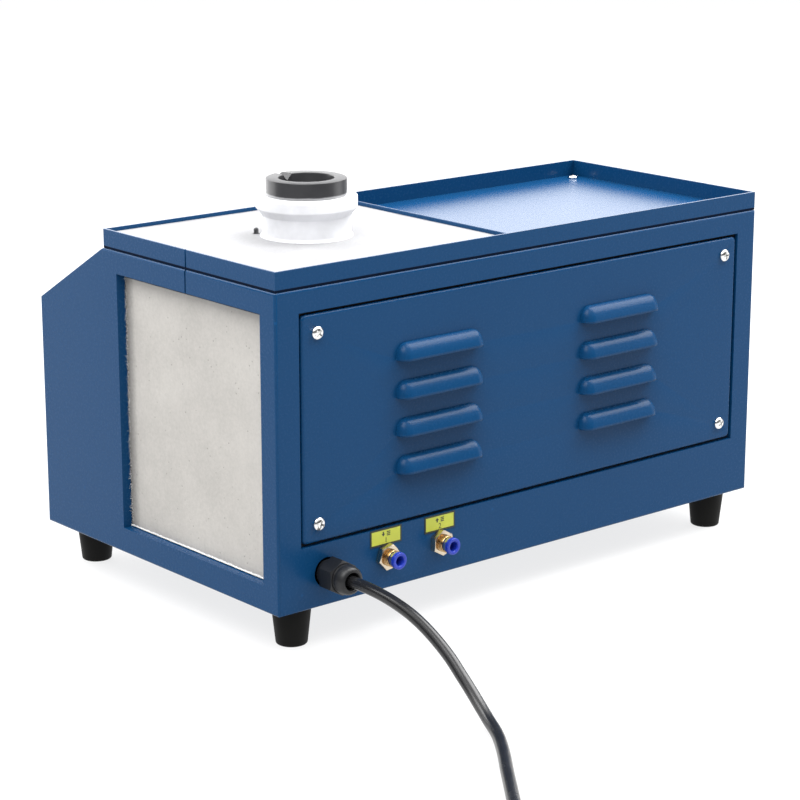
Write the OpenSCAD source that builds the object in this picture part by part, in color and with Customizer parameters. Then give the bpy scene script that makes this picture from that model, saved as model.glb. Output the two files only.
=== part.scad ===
// Bench-top induction furnace for melting gold, in millimetres.
// The feet stand on z = 0 and the origin is the middle of the furnace's footprint.
// +X points to the furnace end, -Y to the operator's sloped panel and +Y to the water and mains side.

/* [Case] */
// Length of the case along the bench
case_len = 451; // [420:1:520]
// Depth of the case at its base
case_depth = 277; // [268:1:320]
// Height of the folded case, without feet and tray
case_h = 216.8; // [212:0.1:250]
// Height of the upright front wall below the control slope
front_h = 168; // [150:0.5:172]
// Depth of the control slope, seen from above
slope_run = 83.25; // [76:0.25:88]
// Thickness of the folded steel
sheet = 1.5; // [1:0.1:2]
// Outer radius of the folded edges
bend_r = 2; // [1.8:0.1:4]
// Width of the flange that turns in at the top of the case
top_rail = 22; // [18:1:26]
// Width of the slit that keeps current from circling in the steel
slit_w = 1.5; // [1:0.1:3]

/* [Feet] */
// Height of a rubber foot
foot_h = 27.5; // [15:0.5:40]
// Diameter of a foot where it meets the case
foot_top_d = 27.2; // [20:0.1:30]
// Diameter of a foot on the bench
foot_low_d = 23.6; // [18:0.1:26]
// Distance from the case's end to a foot's middle
foot_from_end = 24.5; // [18:0.5:40]
// Distance from the case's front to a foot's middle
foot_from_front = 25.5; // [16:0.5:30]
// Distance from the case's rear to a foot's middle
foot_from_rear = 18.5; // [16:0.5:30]

/* [Rear cover] */
// Width of the louvred cover
cover_w = 410; // [360:1:412]
// Height of the steel left above the louvred cover
cover_head = 17.3; // [16:0.1:32]
// Height of the cover's lower edge above the case's bottom
cover_sill = 45; // [44:0.5:48]
// Open gap round the cover
cover_gap = 1.6; // [0.5:0.1:2.5]
// Depth of the seat that the cover lies in
cover_seat = 3.6; // [2:0.1:4.5]
// Width of the ledge behind the cover
cover_ledge = 22; // [18:1:26]
// Distance from the cover's edge to a screw
cover_screw_inset = 13; // [10:0.5:15]

/* [Louvres] */
// Number of louvres in a bank
louvre_count = 4; // [1:1:4]
// Length of one louvre
louvre_len = 71; // [60:1:100]
// Height of one louvre
louvre_h = 10.5; // [9:0.5:18]
// How far a louvre stands out
louvre_out = 9; // [6:0.5:11]
// Step between louvres
louvre_pitch = 26; // [22:0.5:28]
// Height of the lowest louvre's lip above the case's bottom
louvre_low = 79.5; // [70:0.5:84]
// Distance of a bank's middle from the middle of both banks
louvre_bank_x = 85; // [70:1:110]
// How far both banks sit towards the furnace end
louvre_shift = 5; // [0:1:10]

/* [Top tray] */
// How far the tray stands back from the case's ends and rear
tray_inset = 0.7; // [0.2:0.1:3]
// Height of the tray's up-turned rim
tray_rim = 13.3; // [10:0.1:18]
// Distance from the furnace end to the divider in the tray
divider_from_end = 200; // [190:0.5:206]
// Thickness of the white hearth board
hearth_t = 9.1; // [6:0.1:9.5]
// Gap between a board and the steel round it
board_gap = 0.4; // [0.2:0.1:1]
// Distance from the tray's edges to a screw
tray_screw_inset = 13; // [10:0.5:15]

/* [Furnace] */
// Distance from the furnace end to the crucible's axis
furnace_from_end = 102.5; // [98:0.5:106]
// Outer diameter of the crucible
crucible_d = 55.6; // [48:0.1:57]
// Diameter of the crucible's bore
crucible_bore_d = 38; // [25:0.1:42]
// Height of the crucible
crucible_h = 112; // [100:1:125]
// Thickness of the crucible's floor
crucible_floor = 14; // [8:0.5:20]
// Height of the crucible's rim above the collar
crucible_show = 11.6; // [6:0.1:16]
// Gap between the crucible and the ceramics round it
crucible_gap = 0.6; // [0.3:0.1:1]
// Direction in which the pouring notch points
notch_angle = -68; // [-180:1:180]
// Side of the square that cuts the pouring notch
notch_side = 6; // [4:0.5:8]
// Height of the ceramic collar above the hearth board
collar_h = 28.1; // [24:0.1:40]
// Diameter of the collar's flange
collar_d = 70; // [68:0.5:76]
// Thickness of the collar's flange
collar_flange = 8.1; // [5:0.1:12]
// Height of the cone under the collar's flange
collar_cone = 5.4; // [3:0.1:8]
// Wall of the collar's neck
collar_wall = 2.1; // [1.5:0.1:3]
// Diameter of the sight hole beside the collar
sight_hole_d = 5; // [3:0.5:8]
// Wall of the ceramic liner round the crucible
liner_wall = 5.6; // [4:0.1:7]
// Thickness of the liner's floor
liner_floor = 10; // [6:0.5:15]
// Thickness of the fibre sleeve round the liner
sleeve_t = 5; // [3:0.5:6]
// Side of a refractory brick
brick_side = 114; // [106:1:118]
// Outer diameter of the copper coil tube
coil_tube_d = 8; // [6:0.5:8.5]
// Number of whole coil turns, to which half a turn is added
coil_turns = 6; // [3:1:6]
// Height that the coil climbs in a turn
coil_pitch = 9; // [8.8:0.1:9.4]

/* [End window] */
// Width of the window in the furnace end
window_w = 162; // [120:1:164]
// Height of the steel left above the window
window_head = 16; // [14:0.5:50]
// Height of the window's sill above the case's bottom
window_sill = 18.5; // [16:0.5:20]
// Depth of the lip folded in round the window
window_lip = 7; // [4:0.5:10]
// Thickness of the insulating board behind the window
end_board_t = 10; // [6:0.5:12]
// How far that board reaches past the window
end_board_lap = 6; // [4:0.5:7]
// Thickness of the board between the furnace and the electronics
partition_t = 8; // [5:0.5:10]

/* [Ports] */
// Height of the water and mains ports above the case's bottom
port_h = 23.5; // [20:0.5:26]
// Distance from the furnace end to the inlet
inlet_from_end = 91; // [85:0.5:105]
// Distance from the furnace end to the outlet
outlet_from_end = 139; // [133:0.5:155]
// Distance from the furnace end to the cable gland
gland_from_end = 40; // [33:0.5:50]
// Outer diameter of the water tube that the fittings take
tube_d = 6; // [4:0.5:6.5]
// Diameter of a fitting's thread
fitting_thread_d = 12; // [11:0.5:13]
// Width across the flats of a fitting's nut
fitting_nut_af = 16; // [15:0.5:18]
// Thickness of a fitting's nut
fitting_nut_t = 5; // [3:0.5:6]
// How far a fitting's body stands out
fitting_out = 9; // [8:0.5:12]
// Diameter of the collet's pressing ring
collet_d = 13.2; // [11:0.1:14]
// Thickness of the collet's pressing ring
collet_ring = 3.4; // [2:0.1:5]
// Travel of a collet when it is pressed
collet_travel = 1.5; // [1:0.1:2.5]
// Radial running clearance of pieces that turn or slide
run_gap = 0.08; // [0.05:0.01:0.1]
// Diameter of the gland's thread
gland_thread_d = 20; // [18:0.5:20]
// Width across the flats of the gland
gland_af = 22; // [22:0.5:24]
// How far the gland stands out of the case
gland_reach = 27.5; // [24:0.5:36]
// Diameter of the mains cord
cord_d = 8; // [6:0.1:9]

/* [Controls] */
// Width of the control panel
panel_w = 400; // [380:1:410]
// Length of the control panel up the slope
panel_h = 76; // [74:1:78]
// Thickness of the control panel
panel_t = 2; // [1.5:0.1:3]
// Width of the control panel that lies on the case
panel_lap = 8; // [7:0.5:9]
// Place of the mains switch along the panel
switch_x = -165; // [-170:1:-150]
// Place of the meter along the panel
meter_x = -85; // [-95:1:-80]
// Distance from the partition to the power knob's axis
knob_from_partition = 21.5; // [18:0.5:26]
// Place of the start button along the panel
start_x = 70; // [62:1:74]
// Place of the stop button along the panel
stop_x = 115; // [110:1:130]
// Place of the buttons up the slope from the panel's middle
button_up = -10; // [-14:1:-8]
// Place of the lamps up the slope from the panel's middle
lamp_up = 21; // [20:1:24]
// Diameter of the power knob
knob_d = 24; // [18:0.5:30]
// Height of the power knob
knob_h = 16; // [10:0.5:18]
// Diameter of a push button's cap
button_d = 18; // [14:0.5:20]
// Travel of a push button
button_travel = 2.5; // [1:0.1:3]
// Diameter of a signal lamp's lens
lamp_d = 8; // [5:0.5:10]
// Swing of the mains rocker, from off to on
rocker_swing = 20; // [12:1:24]

/* [Cooling fan] */
// Side of the fan's square frame
fan_side = 80; // [60:1:92]
// Thickness of the fan's frame
fan_t = 25; // [20:1:26]
// Number of fan blades
blade_count = 7; // [3:1:9]

/* [Hidden] */
$fn = 48;
eps = 0.01;
bend_steps = 6;

// Frame of the case
rear_y = (case_depth - gland_reach) / 2;
front_y = rear_y - case_depth;
end_x = case_len / 2;
case_low = foot_h;
floor_z = case_low + sheet;
case_top = case_low + case_h;
slope_z = case_low + front_h;
deck_y = front_y + slope_run;
tray_end = end_x - tray_inset;
tray_rear = rear_y - tray_inset;
furnace_x = end_x - furnace_from_end;
furnace_y = (deck_y + tray_rear) / 2;
slope_angle = atan2(case_top - slope_z, slope_run);

// Levels of the furnace
hearth_low = case_top + sheet;
hearth_top = hearth_low + hearth_t;
sight_at = [24, -25.5];
collar_top = hearth_top + collar_h;
crucible_top = collar_top + crucible_show;
crucible_low = crucible_top - crucible_h;
liner_low = crucible_low - liner_floor;
crucible_r = crucible_d / 2;
well_r = crucible_r + crucible_gap;
neck_r = well_r + collar_wall;
liner_r = well_r + liner_wall;
sleeve_gap = 0.3;
sleeve_r = liner_r + sleeve_gap + sleeve_t;
coil_gap = 0.5;
coil_r = sleeve_r + coil_gap + coil_tube_d / 2;
coil_low = liner_low + coil_tube_d / 2 + coil_gap;
coil_high = coil_low + (coil_turns + 0.5) * coil_pitch;

// Boards and tray
divider_x = end_x - divider_from_end;
partition_x = divider_x - partition_t / 2 - 4;
window_top = case_top - window_head;
window_low = case_low + window_sill;
end_board_x = end_x - window_lip;
rim_top = case_top + tray_rim;

// Ports
port_z = case_low + port_h;
inlet_x = end_x - inlet_from_end;
outlet_x = end_x - outlet_from_end;
gland_x = end_x - gland_from_end;
thread_gap = 0.05;
fitting_r = fitting_thread_d / 2;
collet_seat = fitting_out;
collet_face = collet_seat + collet_travel + 0.3 + collet_ring;
collet_stem = 8;
collet_wall = 1.3;
collet_bore_r = tube_d / 2 + 0.1;
collet_stem_r = collet_bore_r + collet_wall;
fitting_flange = 4;
fitting_inner = 12;
gland_r = gland_thread_d / 2;
gland_hex_t = 6;
gland_inner = 11;
locknut_t = 5;
cord_gap = 0.1;
mouth_y = rear_y + gland_reach;

// Screws: head radius, head height and shank radius
cover_screw = [4.8, 3, 2.4];
small_screw = [2.8, 2, 1.45];
tray_screw = [3.9, 2.4, 1.95];
foot_screw = [4.2, 3, 2.4];
screw_gap = 0.1;

// Feet
foot_places = [for (sx = [-1, 1]) for (sy = [0, 1])
    [sx * (end_x - foot_from_end), sy == 0 ? front_y + foot_from_front : rear_y - foot_from_rear]];
foot_screw_seat = 8;

// Electronics bay, from the partition towards the far end
bay_x = partition_x - partition_t / 2;
knob_x = bay_x - knob_from_partition;
fan_x = bay_x - fan_side / 2 - 78;
fan_y = rear_y - 38;
hub_r = 17.5;
blade_gap = 1.5;
sink_size = [120, 90, 40];
sink_from_partition = 59;
sink_from_fan = 20;
sink_base = 8;
sink_x = bay_x - sink_from_partition - sink_size[0] / 2;
sink_y = fan_y - sink_from_fan - sink_size[1] / 2;
fin_count = 12;
fin_t = 2;
board_lift = 18;
board_t = 1.6;
capacitor_size = [38, 30, 46];
capacitor_step = 45;
capacitor_gap = 18;
capacitor_y = sink_y - sink_size[1] / 2 - capacitor_gap - capacitor_size[1] / 2;
choke_r = 22;
choke_gap = 8;
terminal_size = [26, 20, 20];
terminal_x = bay_x - 34 - terminal_size[0] / 2;
lead_y = rear_y - 26;
lead_z = floor_z + cord_d / 2 + 1.2;

// The cord's own route, from the gland to the coil on the bench
cord_lift = 0.9;
cord_z = cord_d / 2 + cord_lift;
wind_centre = [gland_x + 100.5, mouth_y + 379];
wind_out_r = 52;
wind_loops = 4;
wind_gap = 0.7;
wind_from = -25;
wind_to = 90;
// Points of the cord, with x and y from the gland's mouth and z above the bench
cord_route = [for (p = [
    [0, 12, 51], [0, 27, 50.2], [0, 42, 48.2], [0, 57, 44.9], [0.5, 71, 40.4], [1.5, 85, 34.7], [3, 99, 28],
    [5.5, 112, 21.2], [8.5, 125, 15], [12.5, 138, 9.8], [17.5, 151, 6.2], [23.5, 164, 4.6], [31, 176, 4.2],
    [43.5, 193, 4.2], [57, 210, 4.2], [70.5, 227.5, 4.2], [84, 245, 4.3], [97, 263.5, 4.4], [110, 283, 4.6],
    [122.5, 303.5, 4.8], [133.5, 324, 4.9]]) [gland_x + p.x, mouth_y + p.y, p.z]];

// Outlines
function unit(v) = v / norm(v);

// Points of the arc that rounds corner b of the path a, b, c
function corner_arc(a, b, c, r) =
    let (u = unit(a - b), v = unit(c - b), half = acos(u * v) / 2, centre = b + unit(u + v) * r / sin(half),
         from = b + u * r / tan(half) - centre, to = b + v * r / tan(half) - centre,
         start = atan2(from.y, from.x), turn = atan2(from.x * to.y - from.y * to.x, from * to))
    [for (i = [0 : bend_steps])
        let (a = start + turn * i / bend_steps)
        centre + r * [cos(a), sin(a)]];

function rounded(points, r) =
    let (n = len(points))
    [for (i = [0 : n - 1]) each corner_arc(points[(i + n - 1) % n], points[i], points[(i + 1) % n], r)];

function rectangle(low, high) = [low, [high.x, low.y], high, [low.x, high.y]];

// Cross-section of a folded pan whose closed side lies at y = 0
function pan_outline(w, d, r) =
    concat([[-w / 2, d]], corner_arc([-w / 2, d], [-w / 2, 0], [w / 2, 0], r),
           corner_arc([-w / 2, 0], [w / 2, 0], [w / 2, d], r), [[w / 2, d]]);

// Side view of the case, drawn in by the given amount
function case_side(in) = [
    [front_y + in, case_low + in], [rear_y - in, case_low + in], [rear_y - in, case_top - in],
    [deck_y + in * tan(slope_angle / 2), case_top - in],
    [front_y + in, slope_z - in * tan(45 - slope_angle / 2)]];

// Extrusions along X and along Y
module along_x(length) {
    rotate([90, 0, 90])
        linear_extrude(length, center = true)
            children();
}

module along_y(length) {
    rotate([90, 0, 0])
        linear_extrude(length, center = true)
            children();
}

module case_block(in, r) {
    intersection() {
        along_x(case_len - 2 * in)
            polygon(rounded(case_side(in), r));
        linear_extrude(case_top + 1)
            polygon(rounded(rectangle([-end_x + in, front_y + in], [end_x - in, rear_y - in]), r));
        translate([0, (front_y + rear_y) / 2, 0])
            along_y(case_depth)
                polygon(rounded(rectangle([-end_x + in, case_low + in], [end_x - in, case_top - in]), r));
    }
}

module pan_block(w, h, d, r) {
    intersection() {
        along_y(h)
            polygon(pan_outline(w, d, r));
        along_x(w)
            polygon(pan_outline(h, d, r));
    }
}

module folded_pan(w, h, d) {
    difference() {
        pan_block(w, h, d, bend_r);
        translate([0, 0, sheet])
            pan_block(w - 2 * sheet, h - 2 * sheet, d, bend_r - sheet);
    }
}

module box(low, high) {
    translate(low)
        cube(high - low);
}

// A tube along a path of points, closed at both ends
function path_tangents(path) =
    let (n = len(path))
    [for (i = [0 : n - 1]) unit(path[min(i + 1, n - 1)] - path[max(i - 1, 0)])];

function square_to(v, t) = unit(v - (v * t) * t);

module tube_along(path, r, sides) {
    n = len(path);
    tangents = path_tangents(path);
    first = abs(tangents[0].z) > 0.9 ? [1, 0, 0] : [0, 0, 1];
    normals = [for (i = 0, v = square_to(first, tangents[0]); i < n;
                    i = i + 1, v = i < n ? square_to(v, tangents[i]) : v) v];
    rings = [for (i = [0 : n - 1]) for (k = [0 : sides - 1])
        let (a = 360 * k / sides)
        path[i] + r * (cos(a) * normals[i] + sin(a) * cross(tangents[i], normals[i]))];
    walls = [for (i = [0 : n - 2]) for (k = [0 : sides - 1])
        let (a = i * sides + k, b = i * sides + (k + 1) % sides)
        each [[a, a + sides, b + sides], [a, b + sides, b]]];
    caps = [for (k = [1 : sides - 2]) each
        [[0, k, k + 1], [(n - 1) * sides, (n - 1) * sides + k + 1, (n - 1) * sides + k]]];
    polyhedron(rings, concat(walls, caps));
}

function path_length(path) =
    len(path) < 2 ? 0 : [for (i = [1 : len(path) - 1]) norm(path[i] - path[i - 1])] *
        [for (i = [1 : len(path) - 1]) 1];

// Round things that turn up again and again
module ring(outer_r, inner_r, h) {
    difference() {
        cylinder(r = outer_r, h = h);
        translate([0, 0, -1])
            cylinder(r = inner_r, h = h + 2);
    }
}

module hexagon_nut(af, inner_r, h) {
    difference() {
        cylinder(d = af / cos(30), h = h, $fn = 6);
        translate([0, 0, -1])
            cylinder(r = inner_r, h = h + 2);
    }
}

// Pan-head screw with a cross recess: its seat is z = 0 and its shank points down
module pan_screw(screw, shank) {
    head_r = screw[0];
    head_h = screw[1];
    dome_r = (head_r * head_r + head_h * head_h) / (2 * head_h);
    difference() {
        union() {
            intersection() {
                translate([0, 0, head_h - dome_r])
                    sphere(dome_r);
                cylinder(r = head_r - 0.3, h = head_h + 1);
            }
            translate([0, 0, -shank])
                cylinder(r = screw[2], h = shank + 0.5);
        }
        for (turn = [0, 90])
            rotate([0, 0, turn])
                translate([0, 0, head_h])
                    cube([head_r * 1.1, head_r * 0.22, head_h * 1.3], center = true);
    }
}

// Rear wall's own frame: x stays, y goes up and z points out of the case
module on_rear(x, z, out = 0) {
    translate([x, rear_y + out, z])
        rotate([-90, 0, 0])
            mirror([0, 1, 0])
                children();
}

// Control slope's own frame: x stays, y goes up the slope and z points out
module on_slope(x, up, out = 0) {
    translate([0, (front_y + deck_y) / 2, (slope_z + case_top) / 2])
        rotate([slope_angle, 0, 0])
            translate([x, up, out])
                children();
}

// Case and covers
cover_h = case_h - cover_sill - cover_head;
cover_mid_z = case_low + cover_sill + cover_h / 2;
cover_screw_places = [for (sx = [-1, 1]) for (sz = [-1, 1])
    [sx * (cover_w / 2 - cover_screw_inset), cover_mid_z + sz * (cover_h / 2 - cover_screw_inset)]];
panel_screw_places = [for (sx = [-1, 1]) for (su = [-1, 1])
    [sx * (panel_w - panel_lap) / 2, su * (panel_h - panel_lap) / 2]];
tray_screw_places = [for (sx = [-1, 1]) for (y = [deck_y + tray_screw_inset, tray_rear - tray_screw_inset])
    [sx * (tray_end - tray_screw_inset), y]];

module cover_field(w, h, from, to) {
    translate([0, 0, cover_mid_z])
        box([-w / 2, rear_y - from, -h / 2], [w / 2, rear_y + to, h / 2]);
}

module case_shell() {
    seat_w = cover_w + 2 * cover_gap;
    seat_h = cover_h + 2 * cover_gap;
    boss_r = cover_screw[2] + 2;
    color("#1f4a80")
    difference() {
        union() {
            difference() {
                case_block(0, bend_r);
                case_block(sheet, bend_r - sheet);
            }
            cover_field(seat_w + 2 * sheet, seat_h + 2 * sheet, cover_seat + sheet, -sheet / 2);
            box([end_x - window_lip, furnace_y - window_w / 2 - sheet, window_low - sheet],
                [end_x - sheet / 2, furnace_y + window_w / 2 + sheet, window_top + sheet]);
        }
        difference() {
            cover_field(seat_w, seat_h, cover_seat, 1);
            for (p = cover_screw_places)
                on_rear(p.x, p.y, -cover_seat - eps)
                    cylinder(r = boss_r, h = cover_seat - sheet + eps);
        }
        cover_field(cover_w - 2 * cover_ledge, cover_h - 2 * cover_ledge, cover_seat + 2 * sheet, 1);
        for (p = cover_screw_places)
            on_rear(p.x, p.y, -cover_seat - 2 * sheet)
                cylinder(r = cover_screw[2] + thread_gap, h = cover_seat + 3 * sheet);
        box([end_x - window_lip - 1, furnace_y - window_w / 2, window_low],
            [end_x + 1, furnace_y + window_w / 2, window_top]);
        box([end_x - top_rail - 1, furnace_y - slit_w / 2, window_top - 1],
            [end_x + 1, furnace_y + slit_w / 2, case_top + 1]);
        box([-end_x + top_rail, deck_y + top_rail, case_top - 2 * sheet],
            [end_x - top_rail, rear_y - top_rail, case_top + 1]);
        on_slope(0, 0)
            cube([panel_w - 2 * panel_lap, panel_h - 2 * panel_lap, 4 * sheet], center = true);
        for (p = panel_screw_places)
            on_slope(p.x, p.y, -2 * sheet)
                cylinder(r = small_screw[2] + screw_gap, h = 4 * sheet);
        for (p = tray_screw_places)
            translate([p.x, p.y, case_top - 2 * sheet])
                cylinder(r = tray_screw[2] + screw_gap, h = 4 * sheet);
        for (p = foot_places)
            translate([p.x, p.y, case_low - sheet])
                cylinder(r = foot_screw[2] + screw_gap, h = 4 * sheet);
        for (x = [inlet_x, outlet_x])
            on_rear(x, port_z, -2 * sheet)
                cylinder(r = fitting_r + screw_gap, h = 4 * sheet);
        on_rear(gland_x, port_z, -2 * sheet)
            cylinder(r = gland_r + screw_gap, h = 4 * sheet);
    }
}

// One louvre seen on the cover: its lip is z = 0 and y = 0 is the cover's face
louvre_brow = [louvre_out * 0.68, louvre_h * 0.8];
louvre_brow_r = 2.4;
louvre_corner_r = louvre_h * 0.92;

// Side view and front view of a louvre, both drawn in by the given amount
function louvre_side(in, from) =
    let (lip = [louvre_out - in, 0], brow = louvre_brow - [in, in], root = [0, louvre_h - in])
    concat([[-from, 0], lip], corner_arc(lip, brow, root, louvre_brow_r - in / 2), [root, [-from, root.y]]);
function louvre_front(in) =
    let (half = louvre_len / 2 - in)
    rounded(rectangle([-half, -2 * louvre_h], [half, louvre_h - in]), louvre_corner_r - in);

module louvre_bulge(in, from) {
    intersection() {
        along_x(louvre_len)
            polygon(louvre_side(in, from));
        along_y(4 * louvre_out)
            polygon(louvre_front(in));
    }
}

module louvre_places() {
    for (s = [-1, 1])
        for (i = [0 : louvre_count - 1])
            translate([louvre_shift + s * louvre_bank_x, rear_y, case_low + louvre_low + i * louvre_pitch])
                children();
}

module rear_cover() {
    color("#1f4a80")
    difference() {
        union() {
            translate([0, rear_y, cover_mid_z])
                rotate([90, 0, 0])
                    folded_pan(cover_w, cover_h, cover_seat);
            louvre_places()
                louvre_bulge(0, sheet / 2);
        }
        louvre_places()
            louvre_bulge(sheet, 2 * sheet);
        for (p = cover_screw_places)
            on_rear(p.x, p.y, -2 * sheet)
                cylinder(r = cover_screw[2] + 3 * screw_gap, h = 4 * sheet);
    }
}

module rear_cover_screws() {
    color("silver")
    for (p = cover_screw_places)
        on_rear(p.x, p.y)
            pan_screw(cover_screw, cover_seat + sheet + 4);
}

module tray_walls() {
    tray_depth = tray_rear - deck_y;
    translate([0, furnace_y, case_top])
        difference() {
            pan_block(2 * tray_end, tray_depth, tray_rim, bend_r);
            translate([0, 0, -1])
                pan_block(2 * (tray_end - sheet), tray_depth - 2 * sheet, tray_rim + 2, bend_r - sheet);
        }
}

// Plate with its walls folded up; hairlines at the bends keep each wall a straight strip
module top_tray() {
    hairline = 0.05;
    inset = sheet + hairline;
    color("#1f5aa0")
    difference() {
        union() {
            translate([0, furnace_y, case_top])
                pan_block(2 * (tray_end - inset), tray_rear - deck_y - 2 * inset, sheet, bend_r - sheet);
            difference() {
                tray_walls();
                for (y = [deck_y + bend_r, tray_rear - bend_r])
                    box([-end_x, y - hairline / 2, case_top - 1], [end_x, y + hairline / 2, rim_top + 1]);
            }
        }
        box([divider_x + top_rail - 8, deck_y + top_rail, case_top - 1],
            [tray_end - top_rail, tray_rear - top_rail, hearth_low + 1]);
        box([tray_end - top_rail - 1, furnace_y - slit_w / 2, case_top - 1],
            [end_x + 1, furnace_y + slit_w / 2, rim_top + 1]);
        for (p = tray_screw_places)
            translate([p.x, p.y, case_top - 1])
                cylinder(r = tray_screw[2] + screw_gap, h = sheet + 2);
    }
}

// Strip that parts the tool tray from the hearth, clear of the bends in the corners of the tray
module tray_divider() {
    corner_gap = 0.2;
    color("#1f5aa0")
    box([divider_x - sheet, deck_y + sheet + corner_gap, case_top + sheet + corner_gap],
        [divider_x, tray_rear - sheet - corner_gap, rim_top]);
}

module top_tray_screws() {
    color("silver")
    for (p = tray_screw_places)
        translate([p.x, p.y, hearth_low])
            pan_screw(tray_screw, 2 * sheet + 4);
}

module control_panel() {
    color("#30343a")
    difference() {
        on_slope(0, 0, panel_t / 2)
            cube([panel_w, panel_h, panel_t], center = true);
        for (p = panel_screw_places)
            on_slope(p.x, p.y, -1)
                cylinder(r = small_screw[2] + screw_gap, h = panel_t + 2);
        on_slope(switch_x, 0, panel_t / 2)
            cube([switch_body.x + 2 * screw_gap, switch_body.y + 2 * screw_gap, panel_t + 2], center = true);
        on_slope(meter_x, 0, panel_t / 2)
            cube([meter_body.x + 2 * screw_gap, meter_body.y + 2 * screw_gap, panel_t + 2], center = true);
        on_slope(knob_x, 0, -1)
            cylinder(r = pot_bush_r + screw_gap, h = panel_t + 2);
        for (x = [start_x, stop_x])
            on_slope(x, button_up, -1)
                cylinder(r = button_barrel_r + screw_gap, h = panel_t + 2);
        lamp_places(-1)
            cylinder(r = lamp_d / 2 + lamp_wall + screw_gap, h = panel_t + 2);
    }
}

module control_panel_screws() {
    color("silver")
    for (p = panel_screw_places)
        on_slope(p.x, p.y, panel_t)
            pan_screw(small_screw, panel_t + sheet + 3);
}

// Feet
module foot(i) {
    edge = 3;
    top_r = foot_top_d / 2;
    low_r = foot_low_d / 2;
    bore_r = foot_screw[2] + screw_gap;
    well = foot_screw[0] + 1;
    side = concat([[bore_r, foot_h], [bore_r, foot_screw_seat], [well, foot_screw_seat], [well, 0]],
                  corner_arc([well, 0], [low_r, 0], [top_r, foot_h], edge),
                  corner_arc([low_r, 0], [top_r, foot_h], [bore_r, foot_h], edge / 4));
    color("#161616")
    translate([foot_places[i].x, foot_places[i].y, 0])
        rotate_extrude()
            polygon(side);
}

module foot_screws() {
    nut_t = 4;
    color("silver")
    for (p = foot_places)
        translate([p.x, p.y, 0]) {
            translate([0, 0, foot_screw_seat])
                rotate([180, 0, 0])
                    pan_screw(foot_screw, floor_z - foot_screw_seat + nut_t + 2);
            translate([0, 0, floor_z])
                hexagon_nut(8, foot_screw[2] + thread_gap, nut_t);
        }
}

// Boards and furnace
module hearth_board() {
    low_x = divider_x + board_gap;
    high_x = tray_end - sheet - board_gap;
    color("#f1f0ec")
    difference() {
        translate([(low_x + high_x) / 2, furnace_y, hearth_low])
            pan_block(high_x - low_x, tray_rear - deck_y - 2 * (sheet + board_gap), hearth_t, bend_r - sheet);
        translate([furnace_x, furnace_y, hearth_low - 1])
            cylinder(r = neck_r + board_gap, h = hearth_t + 2);
        translate([furnace_x + sight_at.x, furnace_y + sight_at.y, hearth_low - 1])
            cylinder(d = sight_hole_d, h = hearth_t + 2);
        for (p = tray_screw_places)
            translate([p.x, p.y, hearth_low - 1])
                cylinder(r = tray_screw[0] + 1, h = tray_screw[1] + 1.5);
    }
}

module end_board() {
    color("#d9d6ce")
    box([end_board_x - end_board_t, furnace_y - window_w / 2 - end_board_lap, window_low - end_board_lap],
        [end_board_x, furnace_y + window_w / 2 + end_board_lap, window_top + end_board_lap]);
}

// Two folded strips that hold the end board's upper and lower edge
module end_board_rails() {
    grip = 10;
    back_x = end_board_x - end_board_t - board_gap;
    rail_up = (window_top - window_low) / 2 + end_board_lap + board_gap / 2;
    color("#c9c2a8")
    for (up = [-1, 1])
        translate([0, 0, (window_low + window_top) / 2])
            mirror([0, 0, up < 0 ? 1 : 0])
                translate([0, furnace_y - window_w / 2, rail_up]) {
                    box([end_x - 2 * sheet, 0, 0], [end_x - sheet, window_w, 5]);
                    box([back_x - sheet, 0, 0], [end_x - sheet, window_w, sheet]);
                    box([back_x - sheet, 0, -grip], [back_x, window_w, sheet]);
                }
}

module mouth_collar() {
    flange_r = collar_d / 2;
    cone_top = collar_top - collar_flange;
    cone_low = cone_top - collar_cone;
    edge = 1.6;
    profile = concat(
        [[well_r, hearth_low], [neck_r, hearth_low], [neck_r, hearth_top], [neck_r + 1.5, hearth_top],
         [neck_r, hearth_top + 2.5], [neck_r, cone_low]],
        corner_arc([neck_r, cone_low], [flange_r, cone_top], [flange_r, collar_top], edge),
        corner_arc([flange_r, cone_top], [flange_r, collar_top], [well_r, collar_top], edge),
        [[well_r, collar_top]]);
    color("#f6f5f2")
    translate([furnace_x, furnace_y, 0])
        rotate_extrude()
            polygon(profile);
}

module crucible() {
    bore_r = crucible_bore_d / 2;
    edge = 0.8;
    floor_top = crucible_low + crucible_floor;
    profile = concat(
        [[0, crucible_low], [crucible_r, crucible_low]],
        corner_arc([crucible_r, crucible_low], [crucible_r, crucible_top], [bore_r, crucible_top], edge),
        corner_arc([crucible_r, crucible_top], [bore_r, crucible_top], [bore_r, floor_top], edge),
        corner_arc([bore_r, crucible_top], [bore_r, floor_top], [0, floor_top], 6),
        [[0, floor_top]]);
    color("#3c3d40")
    translate([furnace_x, furnace_y, 0])
        difference() {
            rotate_extrude()
                polygon(profile);
            rotate([0, 0, notch_angle])
                translate([crucible_r, 0, crucible_top])
                    rotate([45, 0, 0])
                        cube([crucible_d - 8, notch_side, notch_side], center = true);
        }
}

module furnace_liner() {
    profile = [[0, liner_low], [liner_r, liner_low], [liner_r, hearth_low], [well_r, hearth_low],
               [well_r, crucible_low], [0, crucible_low]];
    color("#e9e2d2")
    translate([furnace_x, furnace_y, 0])
        rotate_extrude()
            polygon(profile);
}

module coil_insulation() {
    color("#f4f2ee")
    translate([furnace_x, furnace_y, liner_low])
        ring(sleeve_r, liner_r + sleeve_gap, hearth_low - liner_low);
}

module furnace_bricks() {
    dry_joint = 0.2;
    brick_h = (liner_low - floor_z - dry_joint) / 2;
    color("#d8c7a4")
    for (i = [0, 1])
        translate([furnace_x, furnace_y, floor_z + i * (brick_h + dry_joint)])
            translate([-brick_side / 2, -brick_side / 2, 0])
                cube([brick_side, brick_side, brick_h]);
}

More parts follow.
